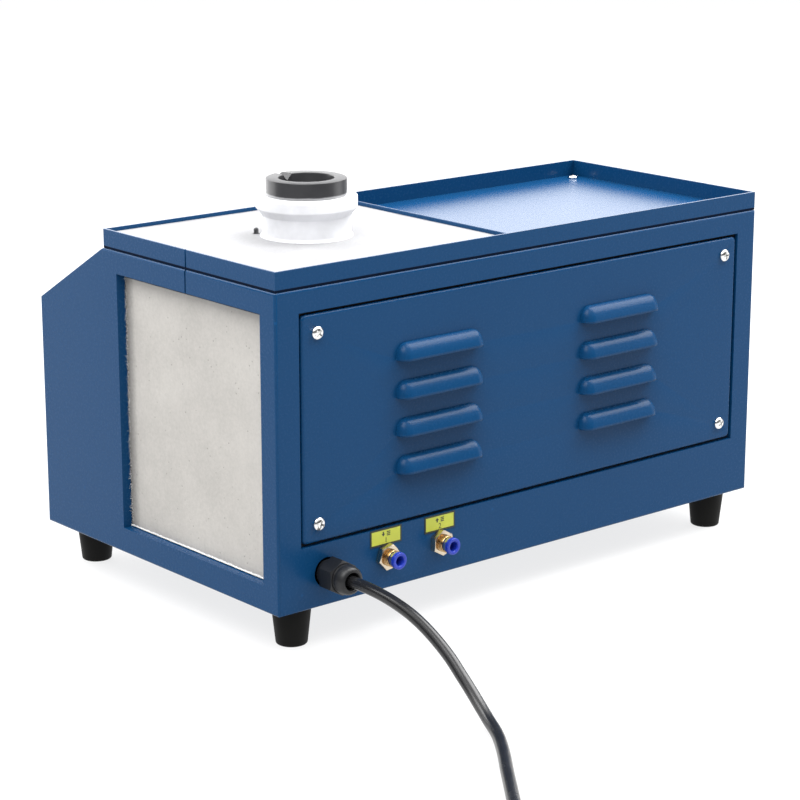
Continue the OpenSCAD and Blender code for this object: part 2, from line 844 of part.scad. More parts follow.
// The coil starts and ends on leads that run straight through the partition board
lead_end_x = bay_x - 8;
coil_steps = 24;
coil_path = concat(
    [[lead_end_x - furnace_x, -coil_r, coil_low], [-coil_tube_d, -coil_r, coil_low]],
    [for (i = [0 : coil_steps * (coil_turns + 0.5)])
        let (turn = i * 360 / coil_steps)
        [coil_r * cos(turn - 90), coil_r * sin(turn - 90), coil_low + coil_pitch * turn / 360]],
    [[-coil_tube_d, coil_r, coil_high], [lead_end_x - furnace_x, coil_r, coil_high]]);

module induction_coil() {
    color("#b87333")
    translate([furnace_x, furnace_y, 0])
        tube_along(coil_path, coil_tube_d / 2, 6);
}

module partition_board() {
    lead_gap = 0.5;
    duct_y = rear_y - 42;
    duct_z = port_z + 24;
    back_y = rear_y - cover_seat - sheet - board_gap;
    color("#cfc7b2")
    difference() {
        translate([partition_x, 0, 0])
            along_x(partition_t)
                polygon(case_side(sheet + board_gap));
        box([bay_x - 1, duct_y, floor_z - 1], [bay_x + partition_t + 1, rear_y, duct_z]);
        box([bay_x - 1, back_y, floor_z - 1], [bay_x + partition_t + 1, rear_y, case_top]);
        for (p = [[-coil_r, coil_low], [coil_r, coil_high]])
            translate([bay_x - 1, furnace_y + p.x, p.y])
                rotate([0, 90, 0])
                    cylinder(r = coil_tube_d / 2 + lead_gap, h = partition_t + 2);
    }
}

// Water fittings: a body with a flange inside the case, a nut outside and a collet that releases the tube
module fitting_body(x) {
    bore_r = collet_stem_r + run_gap;
    color("#c9a24a")
    on_rear(x, port_z)
        difference() {
            union() {
                translate([0, 0, -sheet - fitting_flange])
                    cylinder(d = fitting_nut_af / cos(30), h = fitting_flange, $fn = 6);
                translate([0, 0, -sheet - fitting_inner])
                    cylinder(r = fitting_r - 1, h = fitting_inner);
                translate([0, 0, -sheet - 0.5])
                    cylinder(r = fitting_r, h = sheet + 0.5 + fitting_out);
            }
            translate([0, 0, fitting_out - collet_stem])
                cylinder(r = bore_r, h = collet_stem + 1);
            translate([0, 0, -sheet - fitting_inner - 1])
                cylinder(r = tube_d / 2 - 1, h = sheet + fitting_inner + fitting_out);
        }
}

module fitting_nut(x) {
    color("#d9c48c")
    on_rear(x, port_z)
        hexagon_nut(fitting_nut_af, fitting_r + thread_gap, fitting_nut_t);
}

module fitting_collet(x) {
    stem_low = collet_seat - collet_stem + collet_travel + 0.3;
    color("#2a48d8")
    on_rear(x, port_z)
        difference() {
            union() {
                translate([0, 0, stem_low])
                    cylinder(r = collet_stem_r, h = collet_face - stem_low);
                translate([0, 0, collet_face - collet_ring])
                    cylinder(d = collet_d, h = collet_ring);
            }
            translate([0, 0, stem_low - 1])
                cylinder(r = collet_bore_r, h = collet_face);
        }
}

module water_labels() {
    label = [25, 9.5, 0.3];
    label_up = 13.8;
    color("#d6d532")
    for (x = [inlet_x, outlet_x])
        on_rear(x, port_z + label_up, label.z / 2)
            cube(label, center = true);
}

// A hose from each fitting through the partition's duct to one lead of the coil
module water_hoses() {
    start_y = rear_y - sheet - fitting_inner;
    lead_low = [lead_end_x, furnace_y - coil_r, coil_low];
    lead_high = [lead_end_x, furnace_y + coil_r, coil_high];
    run_y = rear_y - 30;
    inlet_run = [
        [inlet_x, start_y, port_z], [inlet_x, start_y - 4, port_z], [inlet_x - 2, start_y - 10, port_z],
        [inlet_x - 7, run_y + 1, port_z], [inlet_x - 14, run_y, port_z],
        [bay_x + partition_t / 2, run_y, port_z], [bay_x - 8, run_y - 1, port_z],
        [bay_x - 17, run_y - 5, port_z + 2], [bay_x - 22, run_y - 13, port_z + 8],
        [bay_x - 24, run_y - 30, port_z + 30], [bay_x - 24, lead_low.y + 26, lead_low.z - 24],
        [bay_x - 23, lead_low.y + 10, lead_low.z - 7], [bay_x - 20, lead_low.y + 2, lead_low.z - 1],
        [lead_low.x - 6, lead_low.y, lead_low.z], lead_low];
    outlet_run = [
        [outlet_x, start_y, port_z], [outlet_x, start_y - 3, port_z],
        [outlet_x - 1.5, start_y - 8, port_z + 4.5],
        [outlet_x - 6, start_y - 11, port_z + 11], [outlet_x - 14, run_y + 3, port_z + 14],
        [bay_x + partition_t / 2, run_y + 3, port_z + 14], [bay_x - 7, run_y + 3, port_z + 15.5],
        [bay_x - 16, run_y + 2, port_z + 21], [bay_x - 20, run_y, port_z + 32],
        [bay_x - 21, lead_high.y + 14, lead_high.z - 60], [bay_x - 21, lead_high.y + 4, lead_high.z - 22],
        [bay_x - 20, lead_high.y + 1, lead_high.z - 9], [bay_x - 17, lead_high.y, lead_high.z - 2],
        [lead_high.x - 4, lead_high.y, lead_high.z], lead_high];
    color("#5f7fc8")
    for (run = [inlet_run, outlet_run])
        tube_along(run, tube_d / 2, 8);
}

// Cable gland and the mains cord
module gland_body() {
    color("#1a1a1a")
    on_rear(gland_x, port_z)
        difference() {
            union() {
                cylinder(d = gland_af / cos(30), h = gland_hex_t, $fn = 6);
                translate([0, 0, -sheet - gland_inner])
                    cylinder(r = gland_r, h = sheet + gland_inner + eps);
                cylinder(r = gland_r - 1.5, h = gland_hex_t + 8);
            }
            translate([0, 0, -sheet - gland_inner - 1])
                cylinder(r = cord_d / 2 + cord_gap, h = gland_reach);
            translate([0, 0, gland_hex_t])
                cylinder(r = seal_r + cord_gap, h = gland_reach);
        }
}

seal_r = 6.6;

module gland_seal() {
    color("#2b2b2b")
    on_rear(gland_x, port_z, gland_hex_t)
        ring(seal_r, cord_d / 2 + cord_gap, 10);
}

module gland_cap() {
    cap_low = gland_hex_t + 0.4;
    cap_r = gland_r + 1;
    mouth_r = cord_d / 2 + 2.6;
    dome = concat(
        [[0, cap_low], [cap_r, cap_low], [cap_r, gland_reach - 10]],
        corner_arc([cap_r, gland_reach - 12], [cap_r, gland_reach - 1], [mouth_r, gland_reach], 6),
        corner_arc([cap_r, gland_reach - 1], [mouth_r, gland_reach], [mouth_r - 2, gland_reach], 0.3),
        [[0, gland_reach]]);
    color("#1a1a1a")
    on_rear(gland_x, port_z)
        difference() {
            union() {
                rotate_extrude()
                    polygon(dome);
                translate([0, 0, cap_low])
                    cylinder(d = gland_af / cos(30), h = 9, $fn = 6);
            }
            translate([0, 0, cap_low - 1])
                cylinder(r = gland_r - 1.5 + cord_gap, h = 1 + gland_hex_t + 8.4 - cap_low);
            translate([0, 0, cap_low])
                cylinder(r = seal_r + cord_gap, h = gland_hex_t + 10.4 - cap_low);
            translate([0, 0, cap_low])
                cylinder(r = cord_d / 2 + cord_gap, h = gland_reach);
        }
}

module gland_locknut() {
    color("#1a1a1a")
    on_rear(gland_x, port_z, -sheet - locknut_t)
        hexagon_nut(gland_af + 2, gland_r + thread_gap, locknut_t);
}

// The part of the cord inside the case, from the gland's mouth to the terminal block
module mains_lead() {
    bend_y = rear_y - sheet - gland_inner;
    lead = [
        [gland_x, mouth_y, port_z], [gland_x, bend_y, port_z], [gland_x - 1, bend_y - 7, port_z - 1],
        [gland_x - 5, lead_y + 3, port_z - 4], [gland_x - 12, lead_y, port_z - 9],
        [gland_x - 24, lead_y, lead_z + 2],
        [gland_x - 36, lead_y, lead_z], [terminal_x + terminal_size.x / 2, lead_y, lead_z]];
    color("#202020")
    tube_along(lead, cord_d / 2, 12);
}

// The coil that the spare cord is wound into: out to in, up one layer, and in to out
wind_turn = wind_loops * 360 + wind_to - wind_from;
wind_step = cord_d + wind_gap;
wind_reverse = wind_turn / 2 - 90;
wind_rise = cord_d + wind_gap;
wind_steps = 24;
function smooth(t) = t * t * (3 - 2 * t);
function wind_radius(turn) = wind_out_r - wind_step * min(turn, wind_turn - turn) / 360;
function wind_height(turn) = cord_z + wind_rise * smooth(min(max((turn - wind_reverse) / 180, 0), 1));
function wind_point(turn) =
    let (a = wind_from + turn, r = wind_radius(turn))
    [wind_centre.x + r * cos(a), wind_centre.y + r * sin(a), wind_height(turn)];
function wind_heading(a) = [-sin(a), cos(a), 0];
wind_count = ceil(wind_turn * wind_steps / 360);
wind_loop_points = [for (i = [0 : wind_count]) wind_point(i * wind_turn / wind_count)];
wind_tail = 3 * cord_d;
coil_entry = wind_loop_points[0] - cord_d * wind_heading(wind_from);
coil_exit = wind_loop_points[wind_count] + wind_tail * wind_heading(wind_from + wind_turn);
wind_path = concat([coil_entry], wind_loop_points, [coil_exit]);
wind_least_gap = min([for (i = [0 : wind_count]) for (j = [i + 12 : 1 : wind_count])
    norm(wind_loop_points[i] - wind_loop_points[j])]) - cord_d;
echo(least_gap_between_cord_loops = wind_least_gap);
coil_loop_points = [for (i = [2 : len(coil_path) - 3]) coil_path[i]];
coil_loop_last = len(coil_loop_points) - 1;
coil_least_gap = min([for (i = [0 : coil_loop_last]) for (j = [i + 12 : 1 : coil_loop_last])
    norm(coil_loop_points[i] - coil_loop_points[j])]) - coil_tube_d;
echo(least_gap_between_coil_turns = coil_least_gap);

coil_approach = coil_entry - 1.5 * cord_d * wind_heading(wind_from);
free_path = concat([[gland_x, mouth_y, port_z]], cord_route, [coil_approach, coil_entry]);
echo(cord_length = path_length(free_path) + path_length(wind_path));

module power_cord() {
    color("#202020")
    tube_along(free_path, cord_d / 2, 10);
}

module cord_coil() {
    color("#202020")
    tube_along(wind_path, cord_d / 2, 6);
}

// Strap round all the loops on the side away from both ends
module cord_tie() {
    strap_t = 0.8;
    strap_w = 12;
    room = 0.4;
    side_angle = 200;
    low_r = wind_radius(wind_turn / 2) - cord_d / 2 - room;
    high_r = wind_out_r + cord_d / 2 + room;
    high_z = cord_z + wind_rise + cord_d / 2 + room;
    color("#2a2a2a")
    translate([wind_centre.x, wind_centre.y, 0])
        rotate([0, 0, side_angle])
            difference() {
                box([low_r - strap_t, -strap_w / 2, 0], [high_r + strap_t, strap_w / 2, high_z + strap_t]);
                box([low_r, -strap_w, strap_t], [high_r, strap_w, high_z]);
            }
}

// Plug on its side: its own frame starts at the cord and points along it
plug_sleeve = 22;
plug_size = [36, 28, 25];
module on_plug() {
    translate([coil_exit.x, coil_exit.y, plug_size.z / 2])
        rotate([0, 0, wind_to + 90])
            children();
}

module plug_body() {
    corner = 5;
    color("#1c1c1c")
    on_plug() {
        translate([0, 0, coil_exit.z - plug_size.z / 2])
            rotate([0, 90, 0])
                cylinder(r1 = cord_d / 2 + 1, r2 = plug_size.z / 3, h = plug_sleeve + 1);
        translate([plug_sleeve + plug_size.x / 2, 0, 0])
            intersection() {
                linear_extrude(plug_size.z, center = true)
                    polygon(rounded(rectangle([-plug_size.x / 2, -plug_size.y / 2],
                                              [plug_size.x / 2, plug_size.y / 2]), corner));
                along_x(plug_size.x)
                    polygon(rounded(rectangle([-plug_size.y / 2, -plug_size.z / 2],
                                              [plug_size.y / 2, plug_size.z / 2]), corner));
            }
    }
}

module plug_pins() {
    blade = [17, 1.5, 6.3];
    blade_gap_y = 12.7;
    earth_d = 4.8;
    color("#c8b27a")
    on_plug()
        translate([plug_sleeve + plug_size.x, 0, 0]) {
            for (s = [-1, 1])
                translate([blade.x / 2, s * blade_gap_y / 2, -4])
                    cube(blade, center = true);
            translate([0, 0, 6])
                rotate([0, 90, 0])
                    cylinder(d = earth_d, h = blade.x + 2);
        }
}

// Mains rocker switch
switch_body = [30, 22, 24];
switch_lip = 2.5;
rocker_size = [25, 17];
rocker_wall = 0.5;
rocker_pin_r = 1.5;
rocker_pin_z = 0.5;

module switch_frame() {
    color("#151515")
    on_slope(switch_x, 0, panel_t)
        difference() {
            union() {
                translate([0, 0, switch_lip / 2])
                    cube([switch_body.x + 4, switch_body.y + 4, switch_lip], center = true);
                translate([0, 0, -switch_body.z / 2])
                    cube(switch_body, center = true);
            }
            translate([0, 0, 4])
                cube([rocker_size.x + 2 * rocker_wall, rocker_size.y + 2 * rocker_wall, 28], center = true);
            rotate([0, 90, 0])
                translate([-rocker_pin_z, 0, 0])
                    cylinder(r = rocker_pin_r + run_gap, h = rocker_size.x + 5, center = true);
        }
}

module power_rocker() {
    half = rocker_size.y / 2;
    lift = 4.5;
    tilt = rocker_swing / 2;
    outline = [
        [-half, 1], [-half + 1.5, -3.5], [half - 1.5, -3.5], [half, 1],
        [half * 0.98, lift - 1.6], [0, lift - 3.2], [-half * 0.98, lift - 1.6]];
    color("#b3201f")
    on_slope(switch_x, 0, panel_t + rocker_pin_z)
        rotate([-tilt, 0, 0]) {
            along_x(rocker_size.x)
                polygon(outline);
            rotate([0, 90, 0])
                cylinder(r = rocker_pin_r, h = rocker_size.x + 4, center = true);
        }
}

// Panel meter
meter_body = [76, 39, 30];
meter_lip = [82, 45, 4];
meter_view = [60, 25, 2];

module panel_meter() {
    color("#1b1b1d")
    on_slope(meter_x, 0, panel_t)
        difference() {
            union() {
                translate([0, 0, meter_lip.z / 2])
                    cube(meter_lip, center = true);
                translate([0, 0, -meter_body.z / 2])
                    cube(meter_body, center = true);
            }
            translate([0, 0, meter_lip.z])
                cube([meter_view.x, meter_view.y, 2 * meter_view.z], center = true);
        }
}

module meter_window() {
    room = 0.15;
    glass_t = 1.4;
    color("#3a0d10")
    on_slope(meter_x, 0, panel_t + meter_lip.z - meter_view.z + glass_t / 2)
        cube([meter_view.x - 2 * room, meter_view.y - 2 * room, glass_t], center = true);
}

// Power knob on its potentiometer
pot_bush_r = 4.5;
pot_shaft_r = 3;
pot_nut_t = 2.4;
knob_lift = 0.6;

module potentiometer() {
    color("#9aa0a6")
    on_slope(knob_x, 0) {
        difference() {
            union() {
                translate([0, 0, -10])
                    cylinder(r = 12, h = 10);
                cylinder(r = pot_bush_r, h = panel_t + pot_nut_t + 1);
                translate([0, 0, panel_t])
                    cylinder(d = 12, h = pot_nut_t, $fn = 6);
            }
            translate([0, 0, -9])
                cylinder(r = pot_shaft_r + run_gap, h = 40);
        }
    }
}

module power_knob() {
    low = panel_t + knob_lift;
    top = low + knob_h;
    skirt_h = 3;
    cavity = pot_nut_t + 1.4;
    grip_r = knob_d / 2 - 1.5;
    grips = 16;
    grip_lift = 0.4;
    pointer = 1.2;
    socket = knob_h - 4;
    color("#111111")
    on_slope(knob_x, 0) {
        difference() {
            union() {
                translate([0, 0, low])
                    cylinder(r = knob_d / 2, h = skirt_h);
                translate([0, 0, low])
                    cylinder(r = grip_r, h = knob_h);
            }
            for (i = [0 : grips - 1])
                rotate([0, 0, (i + 0.5) * 360 / grips])
                    translate([grip_r + 0.7, 0, low + skirt_h + grip_lift])
                        cylinder(r = 1.4, h = knob_h);
            translate([-pointer / 2, grip_r / 3, top - pointer / 2])
                cube([pointer, grip_r, pointer]);
            translate([0, 0, low - 1])
                cylinder(r = knob_d / 2 - 3.5, h = cavity + 1);
        }
        translate([0, 0, -8])
            cylinder(r = pot_shaft_r, h = 8 + low + socket);
    }
}

// Push buttons
button_barrel_r = button_d / 2 + 2;
button_bezel_r = button_barrel_r + 3;
button_bezel_h = 3;
button_depth = 18;
button_nut_t = 4;

module button_body(x) {
    on_slope(x, button_up)
        difference() {
            union() {
                translate([0, 0, panel_t])
                    cylinder(r = button_bezel_r, h = button_bezel_h);
                translate([0, 0, -button_depth])
                    cylinder(r = button_barrel_r, h = button_depth + panel_t + eps);
                translate([0, 0, -sheet - button_nut_t])
                    cylinder(d = 2 * button_barrel_r + 6, h = button_nut_t + sheet, $fn = 6);
            }
            translate([0, 0, -button_depth + 3])
                cylinder(r = button_d / 2 + run_gap, h = button_depth + 20);
        }
}

module button_bodies() {
    color("#b9bcc0")
    for (x = [start_x, stop_x])
        button_body(x);
}

module button_cap(x, tint) {
    cap_low = -button_depth + 3 + button_travel + 2;
    cap_top = panel_t + button_bezel_h + button_travel;
    edge = 1;
    side = concat(
        [[0, cap_low], [button_d / 2, cap_low]],
        corner_arc([button_d / 2, cap_low], [button_d / 2, cap_top], [0, cap_top], edge),
        [[0, cap_top]]);
    color(tint)
    on_slope(x, button_up)
        rotate_extrude()
            polygon(side);
}

// Three signal lamps above the buttons
lamp_wall = 1.5;
lamp_step = 22.5;
module lamp_places(out) {
    for (i = [-1, 0, 1])
        on_slope((start_x + stop_x) / 2 + i * lamp_step, lamp_up, out)
            children();
}

module lamp_bezels() {
    bore_r = lamp_d / 2 + thread_gap;
    color("#c8cacd")
    lamp_places(0)
        difference() {
            union() {
                translate([0, 0, -12])
                    cylinder(r = lamp_d / 2 + lamp_wall, h = 12 + panel_t);
                translate([0, 0, panel_t])
                    cylinder(r = lamp_d / 2 + lamp_wall + 1.2, h = 1.8);
            }
            translate([0, 0, -10])
                cylinder(r = bore_r, h = 30);
        }
}

module lamp_lenses() {
    color("#d84a2a")
    lamp_places(-10)
        union() {
            cylinder(d = lamp_d, h = 11 + panel_t);
            intersection() {
                translate([0, 0, 11 + panel_t])
                    sphere(d = lamp_d);
                cylinder(d = lamp_d, h = 40);
            }
        }
}

// Power electronics on the case's floor
module heat_sink() {
    fin_step = (sink_size.x - fin_t) / (fin_count - 1);
    color("#a9adb1")
    translate([sink_x - sink_size.x / 2, sink_y - sink_size.y / 2, floor_z]) {
        translate([0, 0, sink_size.z - sink_base])
            cube([sink_size.x, sink_size.y, sink_base]);
        for (i = [0 : fin_count - 1])
            translate([i * fin_step, 0, 0])
                cube([fin_t, sink_size.y, sink_size.z - sink_base + eps]);
    }
}

sink_top = floor_z + sink_size.z;
module power_transistors() {
    package = [16, 21, 5];
    color("#17181a")
    for (i = [0 : 3])
        translate([sink_x - 1.5 * 24 + i * 24 - package.x / 2, sink_y - package.y / 2, sink_top])
            cube(package);
}

module inverter_board() {
    post_r = 3;
    bulk_r = 11;
    color("#1f6b3a")
    translate([sink_x, sink_y, sink_top]) {
        for (sx = [-1, 1])
            for (sy = [-1, 1])
                translate([sx * (sink_size.x / 2 - 6), sy * (sink_size.y / 2 - 6), 0])
                    cylinder(r = post_r, h = board_lift);
        translate([-sink_size.x / 2, -sink_size.y / 2, board_lift])
            cube([sink_size.x, sink_size.y, board_t]);
        for (i = [-1, 0, 1])
            translate([i * 28, 18, board_lift + board_t])
                cylinder(r = bulk_r, h = 30);
        translate([-40, -32, board_lift + board_t])
            cube([80, 24, 14]);
    }
}

module tank_capacitors() {
    color("#274a9c")
    for (i = [-1, 0, 1])
        translate([sink_x + i * capacitor_step, capacitor_y, floor_z])
            translate([-capacitor_size.x / 2, -capacitor_size.y / 2, 0])
                cube(capacitor_size);
}

module filter_choke() {
    color("#8a6a2a")
    translate([sink_x, capacitor_y - capacitor_size.y / 2 - choke_gap - choke_r, floor_z])
        ring(choke_r, choke_r / 2, 0.9 * choke_r);
}

fan_z = floor_z + fan_side / 2;
fan_bore_r = fan_side / 2 - 2;
fan_shaft_r = 1.5;

// Fan's own frame: z runs along its shaft, out towards the louvres
module on_fan() {
    translate([fan_x, fan_y, fan_z])
        rotate([-90, 0, 0])
            children();
}

module fan_frame() {
    plate_t = 3;
    arm_w = 5;
    boss_r = hub_r - 1;
    color("#222222")
    on_fan()
        difference() {
            union() {
                difference() {
                    cube([fan_side, fan_side, fan_t], center = true);
                    cylinder(r = fan_bore_r, h = fan_t + 2, center = true);
                }
                translate([0, 0, -fan_t / 2])
                    cylinder(r = boss_r, h = plate_t);
                for (turn = [45, 135])
                    rotate([0, 0, turn])
                        translate([-fan_side / 2, -arm_w / 2, -fan_t / 2])
                            cube([fan_side, arm_w, plate_t]);
                translate([0, 0, -fan_t / 2])
                    cylinder(r = 4, h = 12);
            }
            cylinder(r = fan_shaft_r + run_gap, h = fan_t + 4, center = true);
            for (sx = [-1, 1])
                for (sy = [-1, 1])
                    translate([sx * (fan_side / 2 - 4.3), sy * (fan_side / 2 - 4.3), 0])
                        cylinder(r = 2.1, h = fan_t + 2, center = true);
        }
}

module fan_rotor() {
    hub_low = -fan_t / 2 + 4;
    hub_high = fan_t / 2 - 1;
    blade_r = fan_bore_r - blade_gap;
    blade = [blade_r - hub_r + 3, 19, 1.6];
    pitch = 38;
    color("#2c2c2c")
    on_fan() {
        difference() {
            union() {
                translate([0, 0, hub_low])
                    cylinder(r = hub_r, h = hub_high - hub_low);
                intersection() {
                    for (i = [0 : blade_count - 1])
                        rotate([0, 0, i * 360 / blade_count])
                            translate([hub_r - 2, 0, (hub_low + hub_high) / 2])
                                rotate([pitch, 0, 0])
                                    translate([0, -blade.y / 2, -blade.z / 2])
                                        cube(blade);
                    cylinder(r = blade_r, h = fan_t, center = true);
                }
            }
            translate([0, 0, hub_low - 1])
                cylinder(r = hub_r - 2, h = hub_high - hub_low - 2 + 1);
        }
        translate([0, 0, -fan_t / 2 + 0.5])
            cylinder(r = fan_shaft_r, h = hub_high - 1 + fan_t / 2 - 0.5);
    }
}

module terminal_block() {
    color("#e2e0d8")
    difference() {
        translate([terminal_x - terminal_size.x / 2, lead_y - terminal_size.y / 2, floor_z])
            cube(terminal_size);
        for (s = [-1, 0, 1])
            translate([terminal_x, lead_y + s * 6, floor_z + terminal_size.z - 6])
                cylinder(r = 2, h = 10);
    }
}

case_shell();
control_panel();
control_panel_screws();
rear_cover();
rear_cover_screws();
top_tray();
tray_divider();
top_tray_screws();
hearth_board();
end_board();
end_board_rails();
mouth_collar();
crucible();
foot(0);  // foot_front_left
foot(1);  // foot_rear_left
foot(2);  // foot_front_right
foot(3);  // foot_rear_right
foot_screws();
fitting_body(inlet_x);  // inlet_body
fitting_nut(inlet_x);  // inlet_nut
fitting_collet(inlet_x);  // inlet_collet
fitting_body(outlet_x);  // outlet_body
fitting_nut(outlet_x);  // outlet_nut
fitting_collet(outlet_x);  // outlet_collet
water_labels();
gland_body();
gland_cap();
gland_seal();
gland_locknut();
mains_lead();
power_cord();
cord_coil();
cord_tie();
plug_body();
plug_pins();
switch_frame();
power_rocker();
panel_meter();
meter_window();
power_knob();
potentiometer();
button_bodies();
button_cap(start_x, "#1f9a4a");  // start_button
button_cap(stop_x, "#c8201c");  // stop_button
lamp_bezels();
lamp_lenses();
furnace_bricks();
furnace_liner();
coil_insulation();
induction_coil();
partition_board();
water_hoses();
heat_sink();
power_transistors();
inverter_board();
tank_capacitors();
filter_choke();
fan_frame();
fan_rotor();
terminal_block();
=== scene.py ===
"""Looks of a bench-top induction furnace for melting gold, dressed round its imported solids, in metres."""

import math
import random

import bmesh
import bpy
from mathutils import Matrix, Vector


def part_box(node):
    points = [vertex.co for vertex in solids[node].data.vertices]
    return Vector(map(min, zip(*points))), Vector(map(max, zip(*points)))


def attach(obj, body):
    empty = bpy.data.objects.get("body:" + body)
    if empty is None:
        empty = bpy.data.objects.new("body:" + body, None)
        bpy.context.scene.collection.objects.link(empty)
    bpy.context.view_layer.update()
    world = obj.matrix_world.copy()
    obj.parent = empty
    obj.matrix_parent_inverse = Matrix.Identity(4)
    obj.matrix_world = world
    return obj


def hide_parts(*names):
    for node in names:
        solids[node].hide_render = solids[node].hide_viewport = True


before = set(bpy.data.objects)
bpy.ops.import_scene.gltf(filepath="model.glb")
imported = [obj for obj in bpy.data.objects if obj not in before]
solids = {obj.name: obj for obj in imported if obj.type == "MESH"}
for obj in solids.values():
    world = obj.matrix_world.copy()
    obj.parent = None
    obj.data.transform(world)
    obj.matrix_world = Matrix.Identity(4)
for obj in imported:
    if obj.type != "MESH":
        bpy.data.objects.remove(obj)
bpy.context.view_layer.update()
scene = bpy.context.scene
scene.view_settings.view_transform = "Standard"


# Places that several pieces share
def middle(node):
    low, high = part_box(node)
    return (low + high) / 2


CASE_LOW, CASE_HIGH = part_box("case_shell")
REAR_Y = CASE_HIGH.y
PORT_Z = middle("inlet_collet").z
INLET_X = middle("inlet_collet").x
OUTLET_X = middle("outlet_collet").x
GLAND_X = middle("gland_cap").x
MOUTH_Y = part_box("gland_cap")[1].y
SLOPE_RUN = 0.08325
SLOPE_DROP = 0.0488
SLOPE_CENTRE = Vector((0.0, CASE_LOW.y + SLOPE_RUN / 2, CASE_HIGH.z - SLOPE_DROP / 2))
SLOPE = Matrix.Translation(SLOPE_CENTRE) @ Matrix.Rotation(math.atan2(SLOPE_DROP, SLOPE_RUN), 4, "X")
PANEL_TOP = 0.002
# Corners of the end window, across and up
WINDOW_LOW = Vector((-0.0535, 0.046))
WINDOW_HIGH = Vector((0.1085, 0.2283))


def on_rear(x, z, out=0.0):
    """Frame whose z points out of the rear wall, whose x runs towards -X and whose y goes up."""
    facing = Matrix.Rotation(math.pi, 4, "Z") @ Matrix.Rotation(math.pi / 2, 4, "X")
    return Matrix.Translation((x, REAR_Y + out, z)) @ facing


def on_slope(x, up, out=0.0):
    """Frame of the control slope: x stays, y goes up the slope and z points out."""
    return SLOPE @ Matrix.Translation((x, up, out))


# Node trees
def put(tree, socket, value):
    if isinstance(value, bpy.types.NodeSocket):
        tree.links.new(value, socket)
    else:
        socket.default_value = value


def add(tree, kind, inputs=None, **settings):
    made = tree.nodes.new(kind)
    for key, value in settings.items():
        setattr(made, key, value)
    for key, value in (inputs or {}).items():
        put(tree, made.inputs[key], value)
    return made


def output(tree, kind, inputs=None, **settings):
    """The first output of a new node."""
    return add(tree, kind, inputs, **settings).outputs[0]


def calc(tree, operation, first, second=0.0):
    return output(tree, "ShaderNodeMath", {0: first, 1: second}, operation=operation)


def spread(tree, value, low, high, to_low=0.0, to_high=1.0):
    return output(tree, "ShaderNodeMapRange", {
        "Value": value, "From Min": low, "From Max": high, "To Min": to_low, "To Max": to_high})


def noise(tree, vector, scale, detail, rough):
    return output(tree, "ShaderNodeTexNoise", {
        "Vector": vector, "Scale": scale, "Detail": detail, "Roughness": rough})


def blended(tree, factor, first, second):
    return add(tree, "ShaderNodeMix", {0: factor, 6: first, 7: second}, data_type="RGBA").outputs[2]


def along_axis(tree, axis, kind="Object"):
    """One part of the coordinates of a kind, by the axis's number."""
    place = add(tree, "ShaderNodeTexCoord").outputs[kind]
    return add(tree, "ShaderNodeSeparateXYZ", {0: place}).outputs[axis]


def effect_group(name, inputs, outputs):
    """A shader group with float sockets, its object coordinates and its two end nodes."""
    tree = bpy.data.node_groups.new(name, "ShaderNodeTree")
    for key, value in inputs.items():
        tree.interface.new_socket(key, in_out="INPUT", socket_type="NodeSocketFloat").default_value = value
    for key in outputs:
        tree.interface.new_socket(key, in_out="OUTPUT", socket_type="NodeSocketFloat")
    place = add(tree, "ShaderNodeTexCoord").outputs["Object"]
    return tree, place, add(tree, "NodeGroupInput").outputs, add(tree, "NodeGroupOutput").inputs


def patches(tree, place, scale, detail=3.0, rough=0.6, low=0.3):
    """Soft patches between 0 and 1."""
    return spread(tree, noise(tree, place, scale, detail, rough), low, 1 - low)


def rare_specks(tree, place, scale, channel, chance, outer, inner):
    """Specks in the few cells whose chance, taken from a channel of their colour, is high enough."""
    cells = add(tree, "ShaderNodeTexVoronoi", {"Vector": place, "Scale": scale})
    drawn = add(tree, "ShaderNodeSeparateColor", {0: cells.outputs["Color"]}).outputs[channel]
    rare = calc(tree, "GREATER_THAN", drawn, chance)
    return calc(tree, "MULTIPLY", rare, spread(tree, cells.outputs["Distance"], outer, inner))


def powder_coat_group():
    tree, place, given, result = effect_group(
        "powder_coat", {"Peel Scale": 520.0, "Fleck Scale": 160.0}, ["Peel", "Tone", "Fleck"])
    put(tree, result["Peel"], noise(tree, place, given["Peel Scale"], 1.5, 0.45))
    put(tree, result["Tone"], patches(tree, place, 7.0, rough=0.55))
    put(tree, result["Fleck"], rare_specks(tree, place, given["Fleck Scale"], 0, 0.997, 0.2, 0.08))
    return tree


def moulded_grain_group():
    tree, place, given, result = effect_group("moulded_grain", {"Scale": 900.0}, ["Height", "Tone"])
    put(tree, result["Height"], noise(tree, place, given["Scale"], 3.0, 0.6))
    put(tree, result["Tone"], patches(tree, place, 45.0))
    return tree


def fibre_board_group():
    tree, place, given, result = effect_group(
        "fibre_board", {"Grain Scale": 420.0, "Pit Scale": 130.0}, ["Height", "Tone", "Pits", "Fibres"])
    put(tree, result["Height"], noise(tree, place, given["Grain Scale"], 4.0, 0.7))
    put(tree, result["Tone"], patches(tree, place, 24.0, 4.0, 0.65, 0.28))
    put(tree, result["Pits"], rare_specks(tree, place, given["Pit Scale"], 1, 0.9, 0.26, 0.1))
    stretched = output(tree, "ShaderNodeMapping", {"Vector": place, "Scale": (1.0, 1.0, 0.12)})
    put(tree, result["Fibres"], spread(tree, noise(tree, stretched, 380.0, 2.0, 0.5), 0.56, 0.72))
    return tree


